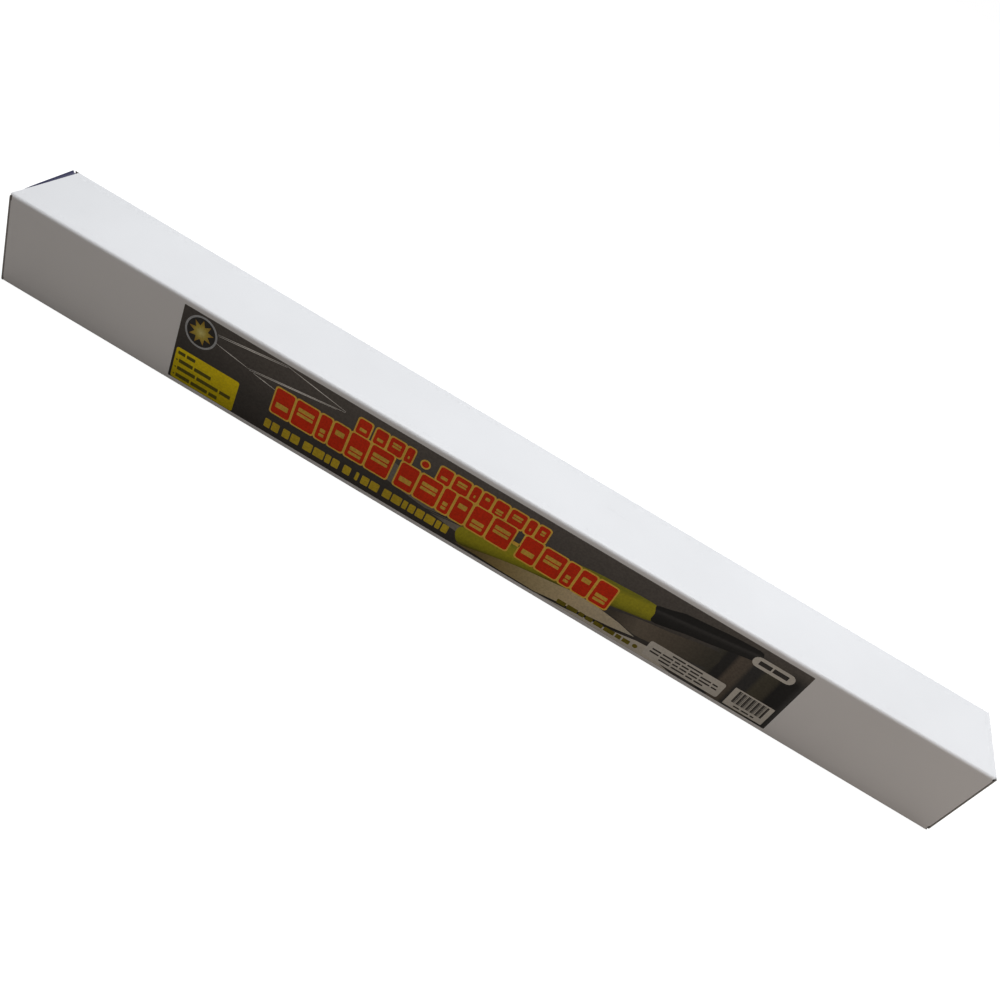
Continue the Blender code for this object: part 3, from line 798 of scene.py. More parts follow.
def build_tuck(side):
    """The tuck's tongue, rounded at its corners, and its crease on the lid."""
    turn = end_turn(side)
    body = side + "_tuck"
    lid_x = HALF_X - HALF_BOARD
    slope = math.atan2(TUCK_HIGH.z - TUCK_LOW.z - BOARD, TUCK_HIGH.x - TUCK_LOW.x)
    along = Vector((-math.cos(slope), math.sin(slope)))
    inward = Vector((math.sin(slope), math.cos(slope)))
    axis = Vector((HALF_X, TUCK_FOLD_Z))
    run = axis + inward * HALF_BOARD
    lid_end = Vector((lid_x, TUCK_FOLD_Z + CREASE_REACH))
    tuck_from = run + along * CREASE_REACH
    pairs = folded([lid_end, run + along * ((run.x - lid_x) / -along.x), tuck_from])
    tuck_half = TUCK_HIGH.y
    # The left tuck takes the painted shade of the gap under the top panel's end.
    looks = GAP_SHADE_LOOKS if side == "left" else BOARD_LOOKS
    rows = []
    for step in range(-4, 5):
        row = []
        for i, pair in enumerate(pairs):
            share = i / (len(pairs) - 1)
            y = step / 4 * (LID_HALF + (tuck_half - LID_HALF) * share)
            lift = 0.0
            if side == "left":
                clear = clamped((left_recess(y) - HALF_X + pair[0].x) / LEFT_CREASE_LIFT)
                lift = LEFT_CREASE_LIFT * clear * min(1.0, LIFT_SWELL * math.sin(math.pi * share))
            row.append([turn @ Vector((p.x, y, p.y - lift)) for p in pair[::-1]])
        rows.append(row)
    crease_strip(body + "_crease", rows, looks)

    length = (TUCK_HIGH.x - TUCK_LOW.x) / math.cos(slope) + TUCK_TAPER
    corner = [(length - y, x) for x, y in
              arc((tuck_half - TUCK_TAPER - TUCK_CORNER, TUCK_CORNER), TUCK_CORNER, 0, -90, 8)]
    outline = [(CREASE_REACH, -tuck_half), (CREASE_REACH, tuck_half)] + corner
    outline += [(reached, -y) for reached, y in corner[::-1]]
    loops = []
    for level in (0, BOARD):
        spots = [(axis + along * reached + inward * level, y) for reached, y in outline]
        loops.append([turn @ Vector((spot.x, y, spot.y)) for spot, y in spots])
    tongue = loft(loops, kinds=(OUTER, INNER, EDGE))
    finish_piece(body + "_tongue", tongue, looks, body, (body,))


def build_dust_flap(side, which):
    """A side flap and its crease on the front or back panel."""
    turn = end_turn(side)
    mirror = 1 if which == "front" else -1
    foot = FLAP_LOW.z
    far = FLAP_HIGH.y + HALF_Y
    body = side + "_" + which + "_dust_flap"

    def spot(x, inset, z):
        return turn @ Vector((x, mirror * (inset - HALF_Y), z))

    def top_at(inset):
        return HEIGHT - inset - FLAP_LEAD

    flap_x = FLAP_PLANE - HALF_BOARD
    rows = [[], [], []]
    for pair in folded([(FLAP_PLANE - LID_CREASE, HALF_BOARD), (flap_x, HALF_BOARD), (flap_x, CREASE_REACH)]):
        inset = (pair[0].y + pair[1].y) / 2
        for row, share in zip(rows, (0.0, 0.5, 1.0)):
            z = foot + (top_at(inset) - foot) * share
            row.append([spot(p.x, p.y, z) for p in pair])
    crease_strip(body + "_crease", rows)

    outline = [(CREASE_REACH, foot), (CREASE_REACH, top_at(CREASE_REACH)), (far, top_at(far))]
    outline += arc((far - FLAP_CORNER, foot + FLAP_CORNER), FLAP_CORNER, 0, -90, 6)
    loops = [[spot(x, inset, z) for inset, z in outline] for x in (FLAP_PLANE, FLAP_PLANE - BOARD)]
    panel = loft(loops, kinds=(OUTER, INNER, EDGE))
    finish_piece(body + "_panel", panel, BOARD_LOOKS, body, (body,))


# ---------------------------------------------------------------- label
# Places on the label are (u, v): millimetres from its left edge, and down it from LABEL_HEAD at its top edge.

def label_points(outline, lift):
    """Label places as points, lift in front of the sheet's face."""
    face = LABEL_HIGH.y - SHEET - lift
    points = []
    for u, v in outline:
        share = u * MM / LABEL_LENGTH
        along = u - PRINT_SHIFT - 4 * PRINT_BOW * share * (1 - share)
        points.append((LABEL_LOW.x + along * MM, face, LABEL_HIGH.z - (v - LABEL_HEAD) * MM))
    return points


def print_layer(name, level, outlines, material):
    """Flat shapes of one ink; a higher level lies over a lower one."""
    bm = bmesh.new()
    for outline in outlines:
        loft([label_points(outline, lift) for lift in (-INK_STEP, level * INK_STEP)], bm=bm)
    finish_piece(name, bm, [material], "carton")


def streak(start, end, width):
    """A thin straight line between two places, tapered to its ends."""
    start, end = Vector(start), Vector(end)
    side = (end - start).orthogonal().normalized() * width / 2
    middle, tip = (start + end) / 2, side * 0.3
    return [start - tip, middle - side, end - tip, end + tip, middle + side, start + tip]


def row_of_blocks(u0, u1, count, gap):
    """Left and right ends of blocks that fill a row, some narrower than others."""
    weights = [1.0 + 0.22 * ((5 * i + 2) % 4 - 1.5) for i in range(count)]
    unit = (u1 - u0 - gap * (count - 1)) / sum(weights)
    blocks = []
    for weight in weights:
        blocks.append((u0, u0 + unit * weight))
        u0 += unit * weight + gap
    return blocks


def joined_outline(blocks, v0, v1, grow, radius):
    """One outline round a row of blocks, scalloped where two of them meet."""
    upper, lower = [], []
    for i, (u0, u1) in enumerate(blocks):
        left, right = u0 - grow, u1 + grow
        overlaps = [0.0, 0.0]
        if i:
            overlaps[0] = (blocks[i - 1][1] + u0) / 2 - left
        if i < len(blocks) - 1:
            overlaps[1] = right - (u1 + blocks[i + 1][0]) / 2
        first, last = (math.degrees(math.acos(1 - max(0.0, overlap) / radius)) for overlap in overlaps)
        top, bottom = v0 - grow + radius, v1 + grow - radius
        upper += arc((left + radius, top), radius, 180 + first, 270, 4)
        upper += arc((right - radius, top), radius, 270, 360 - last, 4)
        lower += arc((left + radius, bottom), radius, 180 - first, 90, 4)
        lower += arc((right - radius, bottom), radius, 90, last, 4)
    return upper + lower[::-1]


def build_title():
    """Plain blocks in place of words: two red lines with amber outlines, and a small amber one below."""
    amber = (0.80, 0.50, 0.075)
    outline_ink = ink("amber_ink", amber)
    block_ink = ink("red_ink", (0.66, 0.030, 0.003), 0.12)
    cut_ink = ink("amber_cut_ink", shade(amber, 0.85), 0.14)
    dot = (157.0, 14.4)
    lines = [("upper", 4, 9.5, 19.9, [(114.1, 122.2, 1), (125.1, 149.3, 3), (165.5, 233.8, 8)]),
             ("lower", 6, 20.5, 37.7, [(65.0, 140.3, 6), (145.1, 217.9, 6), (223.7, 281.4, 5)])]
    for name, level, v0, v1, words in lines:
        outlines, blocks, cuts = [], [], []
        for u0, u1, count in words:
            row = row_of_blocks(u0, u1, count, 1.5)
            outlines.append(joined_outline(row, v0, v1, 0.9, 1.9))
            blocks += [rectangle(left, v0, right, v1, 1.6) for left, right in row]
            for i, (left, right) in enumerate(row):
                middle = (left + right) / 2
                half = (right - left) / 2 - 1.9
                reach = max(0.5, half)
                near, far = (0.26, 0.46) if i % 2 else (0.54, 0.74)
                parts = [(near, near + 0.15), (far, far + 0.12)] if half > 1.2 and i % 3 else [(near, far)]
                for part in parts:
                    top, bottom = (v0 + (v1 - v0) * share for share in part)
                    cuts.append(rectangle(middle - reach, top, middle + reach, bottom, 0.45))
        if name == "upper":
            outlines.append(arc(dot, 3.1, 0, 348, 29))
            blocks.append(arc(dot, 2.1, 0, 348, 29))
        else:
            outlines.append(rectangle(218.9, 28.6, 223.3, 30.9, 0.9))
        layers = (("outline", outlines, outline_ink), ("blocks", blocks, block_ink), ("cuts", cuts, cut_ink))
        for step, (kind, shapes, material) in enumerate(layers):
            print_layer(f"{name}_{kind}", level + step, shapes, material)

    small = []
    for u0, u1, count in ((64.0, 73.5, 2), (75.9, 86.9, 2), (89.7, 113.1, 4), (116.0, 120.7, 1),
                          (124.0, 126.0, 1), (127.9, 139.3, 2), (142.2, 184.6, 8)):
        row = row_of_blocks(u0, u1, count, 0.9)
        small += [rectangle(left, 43.6, right, 49.6, 0.7) for left, right in row]
    print_layer("size_line_blocks", 1, small, ink("dull_amber_ink", (0.60, 0.44, 0.03), 0.12))


def build_badge():
    """A gold sunburst on a dark disc with a silver rim."""
    centre = (14.0, 15.3)
    gold = [(0, (0.72, 0.66, 0.25)), (3.5, (0.50, 0.40, 0.07)), (8, (0.33, 0.17, 0.02))]
    burst = [arc(centre, (7.9, 4.3)[i % 2], 20 * i - 90, 0, 1)[0] for i in range(18)]
    print_layer("badge_rim", 4, [arc(centre, 10.1, 0, 355, 71)], ink("silver_ink", (0.40, 0.42, 0.44)))
    print_layer("badge_disc", 5, [arc(centre, 8.9, 0, 355, 71)], ink("disc_ink", (0.035, 0.034, 0.032)))
    print_layer("badge_sunburst", 6, [burst], graded_ink("gold_ink", gold, from_point, *centre))


def build_backdrop():
    """Blurred night road behind the title: pale wedges, a lit blade and thin light trails."""
    sweep = [(118, 25.0), (132, 23.4), (160, 26.5), (190.5, 31.5), (190.5, 37.4), (172, 41.0), (150, 38.6),
             (132, 35.0)]
    sweep_ink = [(120, (0.085, 0.082, 0.072)), (150, (0.21, 0.195, 0.165)), (170, (0.17, 0.155, 0.13)),
                 (192, (0.12, 0.11, 0.09))]
    wedge = [(171.0, 41.9), (191.5, 38.8), (191.5, 44.6)]
    wedge_ink = [(170, (0.10, 0.092, 0.078)), (180, (0.22, 0.20, 0.17)), (191, (0.24, 0.215, 0.18))]
    blade = [(190.5, 51.4), (210, 46.8), (228.4, 43.0), (257, 38.4), (276, 38.4), (292, 40.6), (303.7, 43.7),
             (290.4, 46.2), (257, 50.5), (243.7, 52.4), (219, 52.2), (204.6, 51.6)]
    blade_ink = [(204, (0.20, 0.15, 0.06)), (222, (0.34, 0.26, 0.11)), (245, (0.50, 0.41, 0.23)),
                 (262, (0.60, 0.49, 0.30)), (290, (0.55, 0.49, 0.36)), (304, (0.52, 0.50, 0.42))]
    shadow = [(303.7, 43.9), (289, 46.9), (262, 50.3), (243.7, 52.5), (219, 52.4), (200, 51.5), (200, 52.1),
              (219, 53.2), (243.7, 53.3), (262, 51.3), (289, 48.0)]
    verge = [(238.5, 53.1), (252.5, 52.6), (264.5, 51.6), (291.5, 48.2), (306.0, 45.3), (315.0, 44.6),
             (318.0, 50.0), (328.0, 52.4), (331.0, 53.1)]
    glow = [(280, 37.4), (296, 31.6), (318, 27.5), (345, 22.5), (345, 36.0), (322, 39.6), (303, 42.4),
            (290, 39.4)]
    glow_ink = [(286, (0.075, 0.066, 0.052)), (302, (0.165, 0.140, 0.108)), (322, (0.120, 0.103, 0.080)),
                (345, (0.060, 0.057, 0.045))]
    trails = [((23.8, 10.6), (66.4, 4.9)), ((24.2, 11.4), (66.6, 5.6)), ((66.4, 4.9), (105.5, 11.2)),
              ((45.4, 19.9), (105.5, 11.8)), ((46.2, 20.6), (100.0, 13.1)), ((23.6, 16.4), (45.4, 20.0)),
              ((49.3, 21.0), (64.2, 23.3))]
    print_layer("road_sweep", 1, [smooth_outline(sweep)], graded_ink("sweep_ink", sweep_ink, label_u))
    print_layer("road_wedge", 2, [wedge], graded_ink("wedge_ink", wedge_ink, label_u))
    print_layer("road_blade", 1, [blade], graded_ink("blade_ink", blade_ink, label_u))
    print_layer("road_shadow", 2, [shadow, streak((168, 40.9), (190.3, 37.3), 0.7)],
                ink("shadow_ink", (0.022, 0.021, 0.020)))
    print_layer("road_verge", 3, [verge], ink("verge_ink", (0.58, 0.55, 0.48), 0.06))
    print_layer("ground_glow", 1, [smooth_outline(glow)], graded_ink("ground_glow_ink", glow_ink, label_u))
    print_layer("light_trails", 2, [streak(start, end, 0.5) for start, end in trails],
                ink("trail_ink", (0.80, 0.79, 0.76), 0.05))


def build_pictured_baton():
    """The lime baton and its black handle that cross the print."""
    tube = [(188.7, 44.8), (189.6, 39.8), (193, 37.2), (205, 33.2), (219, 29.3), (240, 23.0), (262, 18.6),
            (280, 17.0), (301.6, 16.3), (303.9, 20.6), (304.8, 27.8), (290, 31.5), (276, 34.5), (257, 38.8),
            (228, 43.1), (209, 47.4), (197.5, 50.4), (192, 50.2)]
    lime = [(-7.5, (0.26, 0.26, 0.02)), (-4.5, (0.40, 0.37, 0.02)), (1.0, (0.37, 0.345, 0.016)),
            (4.5, (0.26, 0.25, 0.012)), (6.5, (0.115, 0.105, 0.012))]
    handle = [(302.6, 16.6), (308.5, 14.4), (314.2, 12.4), (318, 11.0), (331, 9.4), (342.8, 7.9), (353, 7.2),
              (363, 7.4), (363, 14.2), (352.3, 17.0), (342.8, 19.4), (333, 21.6), (323.7, 23.4),
              (315.1, 25.8), (305.1, 27.6), (304.4, 21.5)]
    black = [(-7, grey(0.018)), (-3.2, grey(0.020)), (-1.8, grey(0.050)), (0.5, grey(0.024)),
             (7, grey(0.013))]
    print_layer("pictured_tube", 3, [smooth_outline(tube)],
                graded_ink("pictured_lime_ink", lime, from_line, 190, 44.8, -0.195))
    print_layer("pictured_handle", 4, [smooth_outline(handle, 3)],
                graded_ink("pictured_handle_ink", black, from_line, 303, 21.3, -0.155))


def text_bars(u0, u1, v0, v1, words):
    """A line of small print as plain bars, one for each word."""
    radius = min(0.3, (v1 - v0) / 3)
    return [rectangle(left, v0, right, v1, radius) for left, right in row_of_blocks(u0, u1, words, 1.0)]


def build_cards():
    """Yellow box, pale cards, pill and stripes, with bars in place of small print."""
    yellow = graded_ink("yellow_ink", [(32, (0.86, 0.68, 0.006)), (53, (0.50, 0.40, 0.004))], label_v)
    bars = text_bars(3.9, 15.0, 34.0, 36.2, 2)
    for right, v0, v1, words in ((26.5, 39.0, 41.4, 2), (40.6, 44.0, 46.4, 3), (33.0, 48.9, 51.3, 3)):
        bars.append(arc((4.1, (v0 + v1) / 2), 0.55, 0, 330, 11))
        bars += text_bars(5.4, right, v0, v1, words)
    print_layer("yellow_box", 3, [rectangle(2.4, 31.9, 43.5, 53.0, 1.5)], yellow)
    print_layer("yellow_box_bars", 4, bars, ink("box_text_ink", (0.11, 0.10, 0.012)))

    cards = [rectangle(312.3, 39.3, 360.1, 51.3, 1.5), rectangle(364.5, 37.2, 389.0, 51.9, 0.3),
             rectangle(360.4, 10.2, 385.5, 17.6, 3.65)]
    dark = text_bars(370.4, 383.3, 49.5, 50.5, 3) + text_bars(364.2, 381.8, 12.4, 15.4, 2)
    for u0, u1, v, words in ((327.0, 346.0, 41.4, 2), (315.5, 357.0, 43.9, 7), (315.0, 357.5, 46.4, 7),
                             (322.0, 350.0, 48.9, 4)):
        dark += text_bars(u0, u1, v - 0.55, v + 0.55, words)
    for i in range(26):
        stripe = 367.6 + 0.73 * i
        dark.append(rectangle(stripe, 38.2, stripe + 0.25 + 0.22 * ((7 * i + 3) % 4) / 1.5, 47.9, 0.05))
    note = text_bars(257.0, 303.6, 48.0, 51.0, 8)
    note.append(arc((307.0, 49.2), 1.5, 0, 345, 23))
    print_layer("pale_cards", 5, cards, ink("pale_ink", (0.60, 0.58, 0.53), 0.06))
    print_layer("card_bars", 6, dark, ink("card_text_ink", (0.045, 0.043, 0.040)))
    print_layer("note_bars", 4, note, ink("note_ink", (0.175, 0.145, 0.012), 0.16))


def build_label():
    """The glued label: its film-covered sheet and the ink on it."""
    outline = rectangle(LABEL_LOW.x, LABEL_LOW.z, LABEL_HIGH.x, LABEL_HIGH.z, 0.4 * MM, 3)
    sheet = loft([[(x, y, z) for x, z in outline] for y in (LABEL_HIGH.y, LABEL_HIGH.y - SHEET)])
    finish_piece("label_sheet", sheet, [sheet_look()], "carton", ("label",))
    build_backdrop()
    build_pictured_baton()
    build_title()
    build_badge()
    build_cards()


# ---------------------------------------------------------------- baton
# Stations along the baton, widths and heights are in millimetres, in BATON_FRAME.

def upright_at(station):
    """A frame in the baton whose X axis points up."""
    return BATON_FRAME @ Matrix.Translation((station, 0, 0)) @ UPRIGHT


def own_place(station, height):
    """Where a piece with its own frame stands in the baton."""
    return BATON_FRAME @ Matrix.Translation((station, 0, height)) @ Matrix.Scale(1 / MM, 4)


def thread(station, angle, phase=0.0):
    """A rounded right-handed ridge, from 0 to 1."""
    return max(0.0, math.cos(2 * math.pi * (station / THREAD_PITCH - phase) - angle)) ** 2


def flute(angle, count, sharpness):
    """Rounded valleys round a grip, from 0 to 1."""
    return (0.5 + 0.5 * math.cos(count * angle)) ** sharpness


def faded(station, first, last, run=1.2):
    """1 between two stations, and fading to 0 at both."""
    return max(0.0, min(1.0, (station - first) / run, (last - station) / run))


def bevelled(first, last, inner, outer, bevel=0.3):
    """Profile of a ring between two stations and two radii, with bevelled outer edges."""
    return [(first, inner), (first, outer - bevel), (first + bevel, outer), (last - bevel, outer),
            (last, outer - bevel), (last, inner)]


def build_tail_cap(black):
    """Fluted screw cap with a drilled lug."""
    outside = arc((12, 14.8), 3, 180, 90, 6) + [(35.5, 17.8), (36, 17.3), (36, 15.9), (35.7, 15.6)]
    profile = [(9, 0)] + stepped(outside + [(33.0, 15.6)], 1.0)
    profile += stepped([(33.0, 15.6), (20.0, 15.6)], 0.375)[1:] + [(12, 15.6), (12, 0)]

    def relief(station, radius, angle):
        if radius > 17.7:
            return -0.55 * flute(angle, 40, 2) * faded(station, 13.0, 34.0)
        if 15.5 < radius < 15.7:
            return -0.25 * thread(station, angle, 0.5) * faded(station, 20.0, 33.0)
        return 0.0

    outline = arc((5.4, 0), 5.4, 90, 270, 24) + [(10, -5.4), (10, 5.4)]
    inset = [(5.4 + (x - 5.4) * 0.93, y * 0.93) for x, y in outline]
    levels = [(inset, -2.2), (outline, -1.8), (outline, 1.8), (inset, 2.2)]
    lug = loft([[BATON_FRAME @ Vector((x, y, z)) for x, y in loop] for loop, z in levels])
    hole = [(-2.7, 0), (-2.7, 3.9), (-1.8, 3.0), (1.8, 3.0), (2.7, 3.9), (2.7, 0)]
    cap = combined(turned(profile, 240, relief=relief), lug, "UNION")
    cap = combined(cap, turned(hole, 40, frame=upright_at(5.4)), "DIFFERENCE")
    baton_piece("cap", cap, [black], "tail_cap", "tail_cap")


def build_tail_contact(steel):
    """Stamped contact plate, and the conical spring with a flat first turn."""
    plate = turned([(12.3, 0), (12.3, 10.3), (12.5, 10.5), (12.8, 10.5), (13.0, 10.3), (13.0, 8.4),
                    (12.8, 8.1), (12.8, 7.3), (13.0, 7.0), (13.0, 0)])
    baton_piece("tail_plate", plate, [steel], "contact_plate", "tail_contact")
    turns, per_turn = 6, 28
    points = []
    for i in range(turns * per_turn + 1):
        share = i / (turns * per_turn)
        angle = 2 * math.pi * turns * share
        rise = max(0.0, (share - 0.12) / 0.88)
        radius = 9.0 - 4.0 * rise
        points.append((13.9 + 23.1 * rise, radius * math.cos(angle), radius * math.sin(angle)))
    baton_piece("spring", wire(points, 0.6), [steel], "tail_spring", "tail_contact", 60)


def build_handle(black):
    """Battery tube: threaded neck, ring grooves for the grip, and the raised pad with the switch's well."""
    profile = [(20, 14.0), (20, 14.9), (20.3, 15.2)] + stepped([(21.0, 15.2), (37.0, 15.2)], 0.5)
    profile += [(38.2, 15.2), (38.2, 15.9), (38.5, 16.2)]
    for i in range(23):
        groove = 46.0 + 4.0 * i
        profile += [(groove, 16.2), (groove + 0.5, 15.7), (groove + 1.3, 15.7), (groove + 1.8, 16.2)]
    profile += [(175.6, 16.2), (176, 15.8), (176, 15.2)] + stepped([(177.5, 15.2), (189.0, 15.2)], 0.5)
    profile += [(189.6, 15.2), (190, 14.8), (190, 12.6), (143, 12.6), (143, 14.0)]

    def relief(station, radius, angle):
        if radius != 15.2:
            return 0.0
        return 0.25 * thread(station, angle) * max(faded(station, 21.0, 37.0), faded(station, 177.5, 189.0))

    pad = slab(rectangle(141, -8, 176, 8, 4, 8), 8.0, 16.9, 0.2)
    pad = combined(pad, turned([(139, 0), (139, 15.0), (178, 15.0), (178, 0)]), "DIFFERENCE")
    handle = combined(turned(profile, 96, True, relief), pad, "UNION")
    handle = combined(handle, slab(rectangle(150, -3.8, 172.8, 3.8, 0.8), 9.0, 19.0), "DIFFERENCE")
    baton_piece("battery_tube", handle, [black], "handle")


def build_bay(brass):
    """Seal, bulkhead, positive contact and the earth strip."""
    seal = turned(arc((37.1, 16.3), 0.8, 0, 345, 23), 128, True)
    baton_piece("seal", seal, [rubber()], "seal_ring", smooth=60)
    disc = turned([(139, 0), (139, 13.2), (139.3, 13.5), (142.1, 13.5), (142.4, 13.2), (142.4, 11.2),
                   (141.9, 10.7), (141.9, 0)])
    baton_piece("bay_wall", disc, [moulded("grey_plastic", grey(0.35), 0.5)], "bulkhead")
    dome = [(138.7, 0), (138.7, 5.8), (138.5, 6.0), (138.1, 5.9), (137.9, 3.7)]
    dome += arc((137.0, 2.4), 0.7, 60, 180, 6) + [(136.3, 0)]
    baton_piece("plus_contact", turned(dome, 48), [brass], "positive_contact", smooth=40)
    dress(brass, "ground_strip", "contact_leaf")


def build_switch(black, steel):
    """Cover plate, ribbed slider, flash button, switch block and screws."""
    button_frame = upright_at(168.8)
    plate = slab(rectangle(141.4, -7.6, 175.6, 7.6, 3.6, 8), 17.2, 18.7, 0.4)
    plate = combined(plate, slab(rectangle(150.1, -2.4, 160.9, 2.4, 0.6), 16.2, 20.2), "DIFFERENCE")
    port = turned([(16.2, 0), (16.2, 3.8), (18.3, 3.8), (19.3, 4.8), (19.3, 0)], 48, frame=button_frame)
    plate = combined(plate, port, "DIFFERENCE")
    baton_piece("cover_plate", plate, [moulded("satin_grey", grey(0.30), 0.35)], "switch_plate")

    slider = slab(rectangle(147.2, -4.2, 158.8, 4.2, 1.5, 6), 19.0, 21.7, 0.5)
    slab(rectangle(150.6, -2, 155.4, 2, 0.4), 9.6, 19.5, bm=slider)
    for i in range(5):
        rib = 149.4 + 1.8 * i
        slab(rectangle(rib - 0.45, -3.4, rib + 0.45, 3.4, 0.4), 21.3, 22.2, 0.25, slider)
    baton_piece("slider", slider, [black], "switch_slider", "switch_slider")

    profile = [(11.2, 0), (11.2, 2.2), (15.6, 2.2), (15.6, 2.7), (16.6, 2.7), (16.6, 3.4)]
    profile += arc((20.2, 2.4), 1.0, 90, 0, 8) + [(21.2, 2.1), (20.9, 1.2), (20.8, 0)]
    red = moulded("button_red", (0.62, 0.02, 0.015), 0.38)
    baton_piece("flash_button", turned(profile, 48, frame=button_frame), [red], "push_button", "push_button")
    dress(moulded("blue_plastic", (0.03, 0.09, 0.28), 0.4), "switch_module")

    screw = [(18.9, 0), (18.9, 1.1), (19.2, 1.1), (19.4, 0.8), (19.5, 0.4), (19.5, 0)]
    for node, station in (("rear_screw", 143.2), ("front_screw", 174.0)):
        head = turned(screw, 32, frame=upright_at(station))
        for x, y in ((0.75, 0.17), (0.17, 0.75)):
            slot = [(station - x, -y), (station + x, -y), (station + x, y), (station - x, y)]
            head = combined(head, slab(slot, 19.25, 19.9), "DIFFERENCE")
        baton_piece(node + "_head", head, [steel], node)


def build_collar(black):
    """Fluted ring nut round the tube's flange."""
    profile = [(176.4, 15.6), (176.4, 17.4), (177.4, 18.4)] + stepped([(179.0, 18.4), (195.0, 18.4)], 1.0)
    profile += [(196, 18.4)] + arc((196, 16.4), 2.0, 90, 0, 5)[1:]
    profile += [(198, 15.2), (193.4, 15.2), (193.4, 16.6), (190, 16.6), (190, 15.6)]

    def relief(station, radius, angle):
        if radius < 18.3:
            return 0.0
        return -0.6 * flute(angle, 28, 3) * faded(station, 179.0, 195.0)

    baton_piece("ring_nut", turned(profile, 224, True, relief), [black], "head_collar")


def tube_outline(inset):
    """The light tube's side from neck to tip, moved inwards by inset."""
    steps = 20
    shoulder = [(203 + 52 * i / steps, 14.8 + 4.25 * eased(i / steps) - inset) for i in range(steps + 1)]
    return shoulder + arc((552.45, 0), 19.05 - inset, 90, 0, steps)[:-1] + [(571.5 - inset, 0)]


def build_tube():
    """Hollow light tube: flange, neck, flared shoulder, straight wall and domed tip."""
    profile = [(190.4, 13.2), (190.4, 15.9), (190.7, 16.2), (192.7, 16.2), (193, 15.9), (193, 14.8)]
    profile += tube_outline(0.0) + tube_outline(1.6)[::-1]
    baton_piece("lamp_tube", turned(profile, 128, True), [lime_plastic()], "light_tube")


def build_holders():
    """Slotted supports for the lamp board."""
    white = moulded("white_plastic", grey(0.78), 0.5)

    def across(half, bottom, top, first, last):
        """A block along the baton, with half its width and the heights of its faces."""
        corners = rectangle(-half, bottom, half, top, 0.3)
        return loft([[BATON_FRAME @ Vector((x, y, z)) for y, z in corners] for x in (first, last)])

    for node, first, last in (("rear_holder", 195, 199), ("middle_holder", 376.5, 379.5),
                              ("front_holder", 534.5, 537.5)):
        if node == "rear_holder":
            holder = turned(bevelled(first, last, 0, 12.7))
        else:
            holder = turned(bevelled(first, last, 15.2, 17.0), 96, True)
            holder = combined(holder, across(15.8, -5.6, -0.8, first, last), "UNION")
        holder = combined(holder, across(6.3, -4.3, -2.1, first - 3, last + 3), "DIFFERENCE")
        baton_piece(node + "_body", holder, [white], node)


def build_led(number, station, resin, tinned):
    """Clear lamp with its lead frame, legs and solder, in its own frame: X points up from its foot."""
    profile = [(0, 0), (0, 2.7), (0.2, 2.9), (0.8, 2.9), (1.0, 2.7), (1.0, 2.5)]
    profile += arc((6.1, 0), 2.5, 90, 0, 12)[:-1] + [(8.6, 0)]
    bm = turned(profile, 40, frame=OWN_FRAME)
    for side, width, top in ((1, 0.75, 4.6), (-1, 0.40, 4.2)):
        middle = side * LEG_OFFSET * 0.75
        loops = []
        for x, half in ((0.3, 0.3), (top, width)):
            corners = ((-0.25, -half), (0.25, -half), (0.25, half), (-0.25, half))
            loops.append([OWN_FRAME @ Vector((x, y, middle + z)) for y, z in corners])
        loft(loops, 1, bm)
        leg = OWN_FRAME @ Matrix.Translation((0, 0, side * LEG_OFFSET))
        for shape, steps in (([(-2.9, 0), (-2.9, 0.25), (-2.2, 0.4), (-1.95, 1.0), (-1.88, 0)], 20),
                             ([(-1.88, 0), (-1.88, 0.25), (0.05, 0.25), (0.05, 0)], 12)):
            turned(shape, steps, frame=leg, material=1, bm=bm)
    place = own_place(station, -2.1) @ UPRIGHT
    baton_piece(f"lamp_{number}", bm, [resin, tinned], f"led_{number}", where=place)


def build_resistor(number, station, ceramic, tinned):
    """Banded resistor with bent legs, in its own frame: X runs along its body."""
    half = [(3.1, 0.55), (2.9, 0.95), (2.4, 1.1), (1.5, 1.1), (1.3, 0.95)]
    bm = turned([(-3.1, 0)] + [(-x, r) for x, r in half] + half[::-1] + [(3.1, 0)], 32, frame=OWN_FRAME)
    for side in (-1, 1):
        bend = [(3.0, 0), (3.9, 0), (4.2, -0.12), (4.35, -0.45), (4.35, -3.5)]
        wire([(side * x, 0, z) for x, z in bend], 0.25, OWN_FRAME, material=1, bm=bm)
    place = own_place(station, -0.9)
    baton_piece(f"ballast_{number}", bm, [ceramic, tinned], f"resistor_{number}", where=place)


def build_lamp_board(steel):
    """Lamps, resistors, flasher chip and leads on the green board."""
    dress(solder_mask(), "lamp_board")
    resin, ceramic = clear_resin(), banded_ceramic()
    for i in range(6):
        build_led(i + 1, 233 + 58 * i, resin, steel)
        build_resistor(i + 1, 219 + 58 * i, ceramic, steel)
    chip = slab(rectangle(204, -2.4, 212, 2.4, 0.4), -1.9, -0.3, 0.3)
    for i in range(4):
        pin = 205.2 + 1.87 * i
        for side in (-1, 1):
            leg = [(2.2, -1.0), (2.9, -1.0), (3.0, -1.9), (3.3, -2.0)]
            wire([(pin, side * y, z) for y, z in leg], 0.18, sides=8, material=1, bm=chip)
    baton_piece("chip", chip, [moulded("chip_epoxy", grey(0.02), 0.55), steel], "flasher_chip")
    steps = 24
    for name, side, color in (("red_lead", 3.4, (0.6, 0.02, 0.02)), ("black_lead", -3.4, grey(0.02))):
        points = [(176.2 + 16.3 * i / steps, side, 5.4 - 6.8 * eased(i / steps)) for i in range(steps + 1)]
        lead = wire(points, 0.6, sides=14)
        baton_piece(name + "_wire", lead, [moulded(name, color, 0.45)], name, smooth=60)


